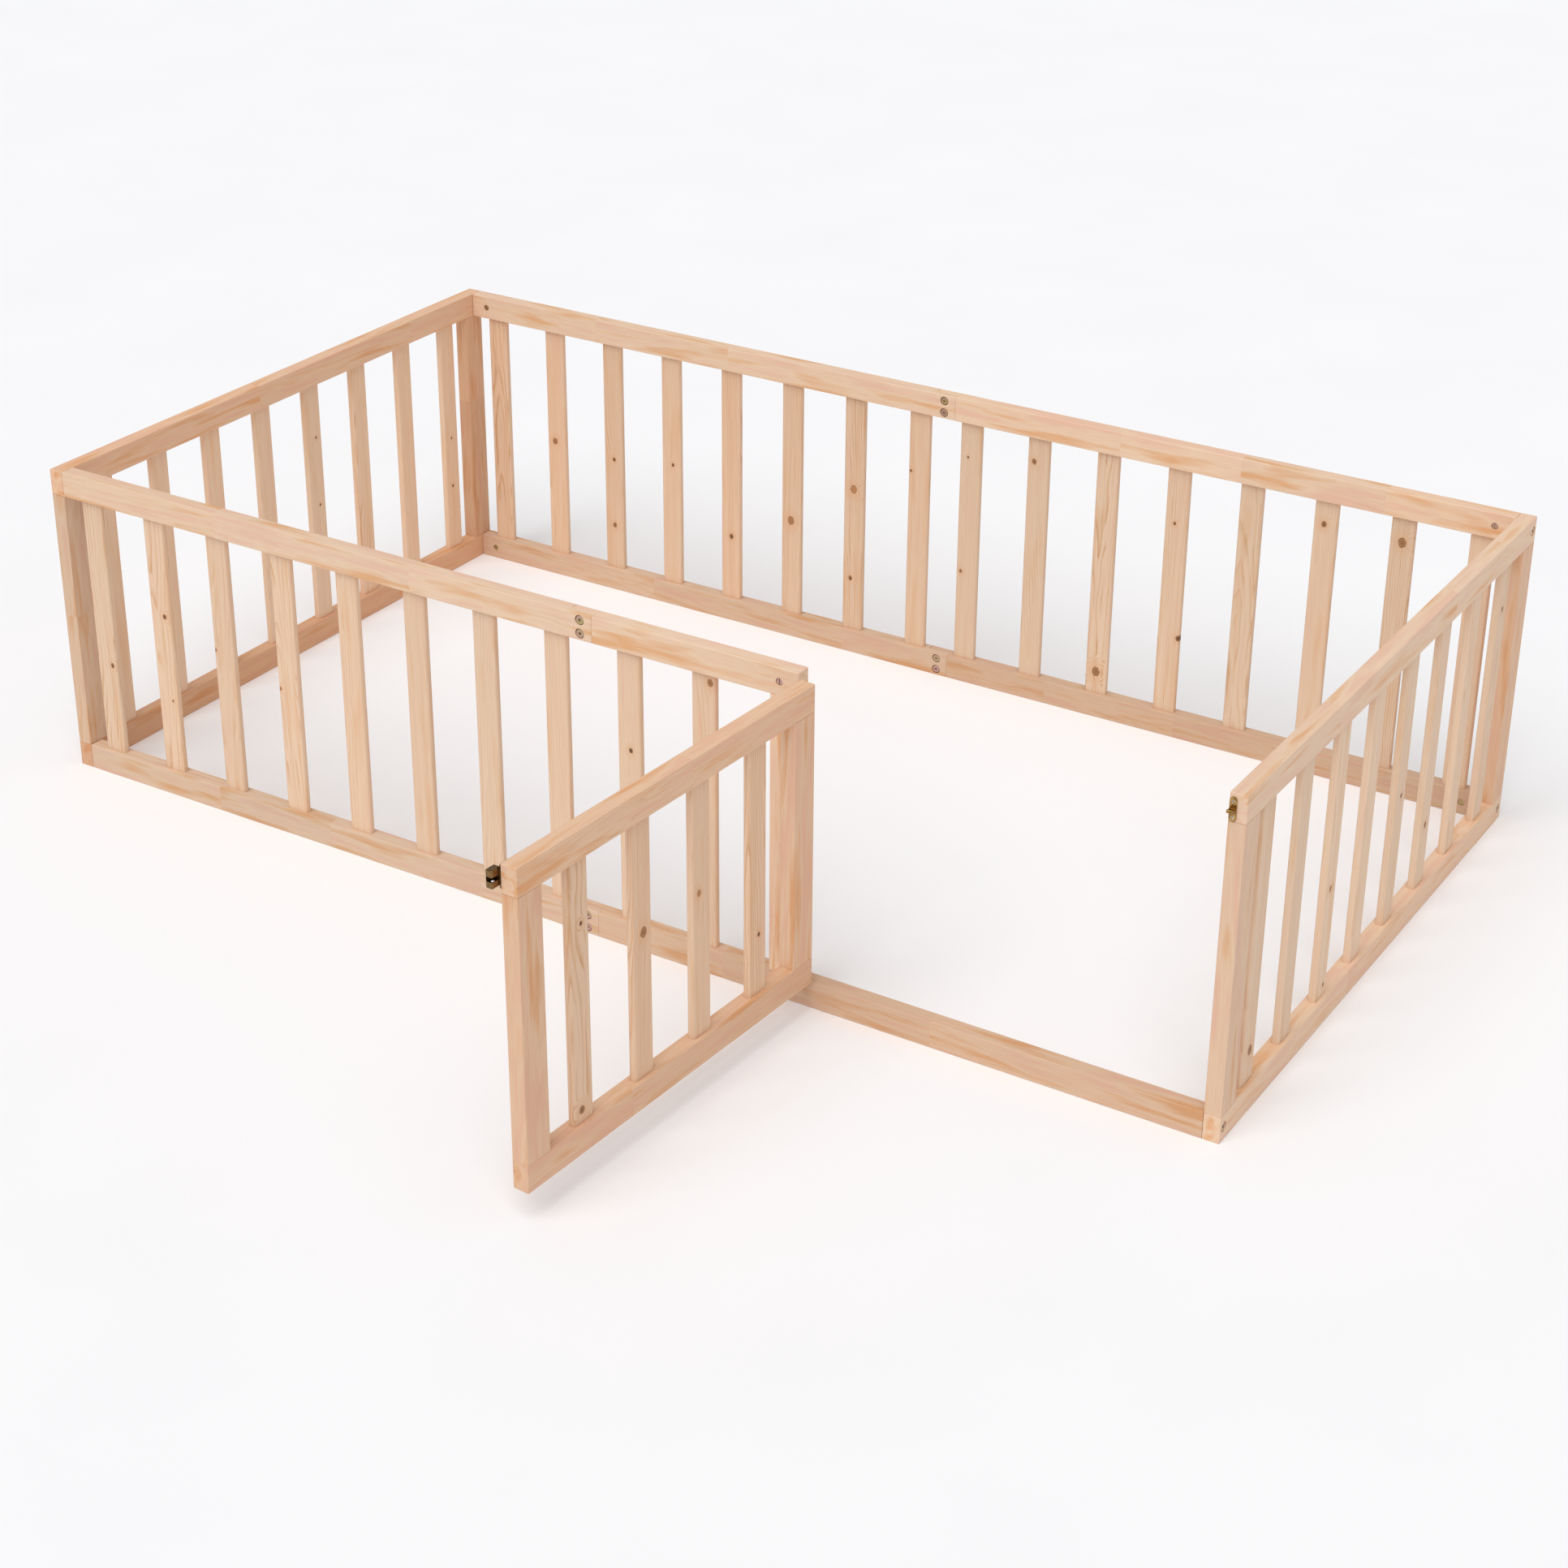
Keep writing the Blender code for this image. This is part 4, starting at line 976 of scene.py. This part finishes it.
def make_hinges():
    """Two butt hinges: each leaf with its knuckles, the pin with the leaf on the post, two screws a leaf."""
    for label in ("lower", "upper"):
        base, top = [corner.z for corner in shut_box(f"{label}_hinge_door_leaf")]
        pitch = (top - base) / KNUCKLES
        for leaf, side, first in (("post", -1, 0), ("door", 1, 1)):
            node = f"{label}_hinge_{leaf}_leaf"
            low, high = shut_box(node)
            body = BODY[node]
            near = PIN.x + side * LEAF_CLEAR
            left, right = sorted((near, near + side * PLATE_THICK))
            start = PIN.y + KNUCKLE_R + GAP
            plate = block(
                Vector((left, start, base)), Vector((right, high.y, top)), LEAF_CORNER, 4, along=0,
                end_radius=PLATE_EDGE)
            joins = []
            for number in range(first, KNUCKLES, 2):
                sill = base + pitch * number + GAP / 2
                knuckle = Vector((PIN.x, PIN.y, sill))
                joins.append(rod(KNUCKLE_R, knuckle, (0, 0, 1), pitch - GAP, KNUCKLE_EDGE))
                joins.append(block(
                    Vector((left, PIN.y + KNUCKLE_R / 2, sill)),
                    Vector((right, start + STRAP_LAP, sill + pitch - GAP))))
            cuts = []
            if leaf == "post":
                # The pin stands a millimetre past the knuckles at each end.
                foot = Vector((PIN.x, PIN.y, low.z))
                joins.append(rod(HINGE_PIN_R, foot, (0, 0, 1), high.z - low.z, HINGE_PIN_EDGE))
            else:
                foot = Vector((PIN.x, PIN.y, base - PAST))
                cuts.append(rod(HINGE_PIN_R + GAP / 3, foot, (0, 0, 1), top - base + 2 * PAST))
            mesh = carved(plate, cuts, joins)
            piece(node, mesh, "brass_plated_steel", body, (node,))
            for number, share in enumerate((0.2, 0.8), 1):
                spot = (
                    near + side * PLATE_THICK * SCREW_SINK, (start + high.y) / 2 + HINGE_SCREW_BACK,
                    base + (top - base) * share)
                make_screw(
                    f"{label}_hinge_{leaf}_screw_{number}", spot, (-side, 0, 0), body, HINGE_SCREW_PROUD)


def make_catch_housing():
    """The forked housing with its two sprung balls, on the door's free stile."""
    low, high = shut_box("catch_housing")
    middle_z = (low.z + high.z) / 2
    half = CATCH_BLOCK_HEIGHT / 2
    back = high.y - CATCH_OVERHANG_BACK
    stile_edge = shut_box("door_latch_stile")[1].x
    plate = block(
        Vector((low.x, high.y - PLATE_THICK, low.z)), Vector((stile_edge, high.y, high.z)), CATCH_CORNER, 5,
        along=1, end_radius=PLATE_EDGE)
    fork = block(
        Vector((CATCH_BLOCK_FROM, low.y, middle_z - half)), Vector((high.x, back, middle_z + half)),
        CATCH_BLOCK_EDGE, 5)
    inset = CATCH_BRIDGE_INSET
    bridge = block(
        Vector((CATCH_BLOCK_FROM + inset * 0.6, back - inset, middle_z - half + inset)),
        Vector((stile_edge - GAP, high.y - PLATE_THICK / 2, middle_z + half - inset)))
    slot = block(
        Vector((CATCH_SLOT_FROM, back - CATCH_SLOT_DEEP, middle_z - CATCH_SLOT_HALF)),
        Vector((high.x + PAST, back + PAST, middle_z + CATCH_SLOT_HALF)), CATCH_SLOT_EDGE, along=0)
    cuts = [slot]
    for label, way in (("upper", 1), ("lower", -1)):
        node = f"catch_ball_{label}"
        ball_low, ball_high = shut_box(node)
        centre = (ball_low + ball_high) / 2
        radius = (ball_high.z - ball_low.z) / 2
        foot = Vector((centre.x, centre.y, middle_z))
        deep = abs(centre.z - middle_z) + radius + SPRING_ROOM
        cuts.append(rod(radius + BALL_CLEAR, foot, (0, 0, way), deep))
        ball = bmesh.new()
        bmesh.ops.create_uvsphere(ball, u_segments=40, v_segments=24, radius=radius)
        bmesh.ops.translate(ball, vec=centre, verts=ball.verts)
        piece(node, ball, "bearing_steel", f"{label}_ball", (node,))
    mesh = carved(plate, cuts, [fork, bridge], chamfer=PLATE_EDGE)
    # The housing's dark brass is painted shade, for the shadow that it stands in.
    piece("catch_housing", mesh, "bronzed_brass", "door", ("catch_housing",))
    for number, way in enumerate((-1, 1), 1):
        spot = (low.x + HOUSING_SCREW[0], high.y - PLATE_THICK, middle_z + way * HOUSING_SCREW[1])
        make_screw(f"catch_housing_screw_{number}", spot, (0, -1, 0), "door", HOUSING_SCREW_PROUD)
    return middle_z


def make_catch_strike(middle_z):
    """The oval-ended strike with the tongue that springs in between the balls, on the end panel."""
    low, high = shut_box("catch_strike")
    plate = block(
        Vector((low.x, high.y - PLATE_THICK, low.z)), high, (high.x - low.x) / 2 - PLATE_EDGE, 8, along=1,
        end_radius=STRIKE_EDGE)
    left = low.x + TONGUE_INSET[0]
    right = high.x - TONGUE_INSET[1]
    tongue = bmesh.new()
    ring = TONGUE + [(out, -thick) for out, thick in reversed(TONGUE[:-1])]
    root = tongue.faces.new(
        [tongue.verts.new((left, high.y + GAP - out, middle_z + thick)) for out, thick in ring])
    swept = bmesh.ops.extrude_face_region(tongue, geom=[root])["geom"]
    moved = [part for part in swept if isinstance(part, bmesh.types.BMVert)]
    bmesh.ops.translate(tongue, vec=(right - left, 0, 0), verts=moved)
    bmesh.ops.recalc_face_normals(tongue, faces=tongue.faces)
    mesh = carved(plate, joins=[tongue])
    piece("catch_strike", mesh, "brass_plated_steel", "pen", ("catch_strike",))
    for number, way in enumerate((-1, 1), 1):
        spot = ((low.x + high.x) / 2, high.y - PLATE_THICK, middle_z + way * STRIKE_SCREW)
        make_screw(f"catch_strike_screw_{number}", spot, (0, -1, 0), "pen", STRIKE_SCREW_PROUD)


def make_catch():
    """The double ball catch: its strike stands at the height of the housing's middle."""
    make_catch_strike(make_catch_housing())


# Stage.


def facing(azimuth, elevation):
    """The direction from the pen towards something that stands at that azimuth and elevation."""
    level = math.cos(elevation)
    return Vector((math.sin(azimuth) * level, -math.cos(azimuth) * level, math.sin(elevation)))


def add_light(name, azimuth, elevation, softness, strength):
    """A broad even light from far away, as soft as its width in degrees."""
    data = bpy.data.lights.new(name, "SUN")
    data.angle = math.radians(softness)
    data.energy = strength
    lamp = bpy.data.objects.new(name, data)
    direction = facing(math.radians(azimuth), math.radians(elevation))
    lamp.location = (CAD_BOX[0] + CAD_BOX[1]) / 2 + direction * LIGHT_DISTANCE
    lamp.rotation_mode = "QUATERNION"
    lamp.rotation_quaternion = direction.to_track_quat("Z", "Y")
    bpy.context.scene.collection.objects.link(lamp)


def make_stage():
    settings = bpy.context.scene.playpen_stage
    camera_data = bpy.data.cameras.new("camera")
    camera_data.lens = settings.lens
    camera_data.shift_y = settings.drop
    camera = bpy.data.objects.new("camera", camera_data)
    back = facing(settings.azimuth, settings.elevation)
    right = Vector((math.cos(settings.azimuth), math.sin(settings.azimuth), 0))
    axes = Matrix((right, back.cross(right), back)).transposed().to_4x4()
    camera.matrix_world = Matrix.Translation(settings.place) @ axes @ Matrix.Rotation(settings.roll, 4, "Z")
    bpy.context.scene.collection.objects.link(camera)
    bpy.context.scene.camera = camera

    floor_mesh = bmesh.new()
    bmesh.ops.create_grid(floor_mesh, x_segments=4, y_segments=4, size=FLOOR_REACH)
    data = bpy.data.meshes.new("floor")
    floor_mesh.to_mesh(data)
    floor_mesh.free()
    data.materials.append(material_named("studio_paper"))
    floor = bpy.data.objects.new("floor", data)
    bpy.context.scene.collection.objects.link(floor)

    add_light("key", *KEY_LIGHT, settings.key)
    add_light("fill", *FILL_LIGHT, settings.fill)
    world = bpy.context.scene.world or bpy.data.worlds.new("studio")
    bpy.context.scene.world = world
    world.use_nodes = True
    sky = world.node_tree.nodes["Background"]
    sky.inputs["Color"].default_value = (*linear("#fdfdff"), 1.0)
    sky.inputs["Strength"].default_value = settings.sky
    bpy.context.scene.view_settings.view_transform = "Standard"


# The add-on.


class PLAYPEN_OT_rails(bpy.types.Operator):
    """Model the rails with their mortises, laps and bolt holes"""

    bl_idname = "playpen.rails"
    bl_label = "Rails"

    def execute(self, context):
        make_rails()
        return {"FINISHED"}


class PLAYPEN_OT_stiles(bpy.types.Operator):
    """Model the stiles of the end panels and the door, and the door post"""

    bl_idname = "playpen.stiles"
    bl_label = "Stiles"

    def execute(self, context):
        make_stiles()
        return {"FINISHED"}


class PLAYPEN_OT_slats(bpy.types.Operator):
    """Model the slats with their rounded edges, rings and knots"""

    bl_idname = "playpen.slats"
    bl_label = "Slats"

    def execute(self, context):
        make_slats()
        return {"FINISHED"}


class PLAYPEN_OT_bolts(bpy.types.Operator):
    """Model the lap bolts with their sleeve nuts, and the corner bolts"""

    bl_idname = "playpen.bolts"
    bl_label = "Bolts"

    def execute(self, context):
        make_bolts()
        return {"FINISHED"}


class PLAYPEN_OT_barrel_nuts(bpy.types.Operator):
    """Model the slotted barrel nuts"""

    bl_idname = "playpen.barrel_nuts"
    bl_label = "Barrel nuts"

    def execute(self, context):
        make_barrel_nuts()
        return {"FINISHED"}


class PLAYPEN_OT_hinges(bpy.types.Operator):
    """Model the two butt hinges and their screws"""

    bl_idname = "playpen.hinges"
    bl_label = "Hinges"

    def execute(self, context):
        make_hinges()
        return {"FINISHED"}


class PLAYPEN_OT_catch(bpy.types.Operator):
    """Model the double ball catch and its strike"""

    bl_idname = "playpen.catch"
    bl_label = "Ball catch"

    def execute(self, context):
        make_catch()
        return {"FINISHED"}


class PLAYPEN_OT_stage(bpy.types.Operator):
    """Set the camera, the lights and the pale floor"""

    bl_idname = "playpen.stage"
    bl_label = "Stage"

    def execute(self, context):
        make_stage()
        return {"FINISHED"}


class PLAYPEN_PT_panel(bpy.types.Panel):
    """Lists the playpen's pieces and settings"""

    bl_idname = "PLAYPEN_PT_panel"
    bl_label = "Playpen"
    bl_space_type = "VIEW_3D"
    bl_region_type = "UI"
    bl_category = "Playpen"

    def draw(self, context):
        for label, group in GROUPS.items():
            for name in group.__annotations__:
                self.layout.prop(getattr(context.scene, label), name)
        for operator in OPERATORS:
            self.layout.operator(operator.bl_idname)


GROUPS = {
    "playpen_timber": PlaypenTimber, "playpen_colours": PlaypenColours, "playpen_stage": PlaypenStage,
}
OPERATORS = (
    PLAYPEN_OT_stage, PLAYPEN_OT_rails, PLAYPEN_OT_stiles, PLAYPEN_OT_slats, PLAYPEN_OT_bolts,
    PLAYPEN_OT_barrel_nuts, PLAYPEN_OT_hinges, PLAYPEN_OT_catch,
)


def register():
    for cls in (*GROUPS.values(), *OPERATORS, PLAYPEN_PT_panel):
        bpy.utils.register_class(cls)
    for name, group in GROUPS.items():
        setattr(bpy.types.Scene, name, PointerProperty(type=group))


def unregister():
    for name in GROUPS:
        delattr(bpy.types.Scene, name)
    for cls in reversed((*GROUPS.values(), *OPERATORS, PLAYPEN_PT_panel)):
        bpy.utils.unregister_class(cls)


def main():
    register()
    bpy.ops.playpen.stage()
    bpy.ops.playpen.rails()
    bpy.ops.playpen.stiles()
    bpy.ops.playpen.slats()
    bpy.ops.playpen.bolts()
    bpy.ops.playpen.barrel_nuts()
    bpy.ops.playpen.hinges()
    bpy.ops.playpen.catch()


if __name__ == "__main__":
    main()
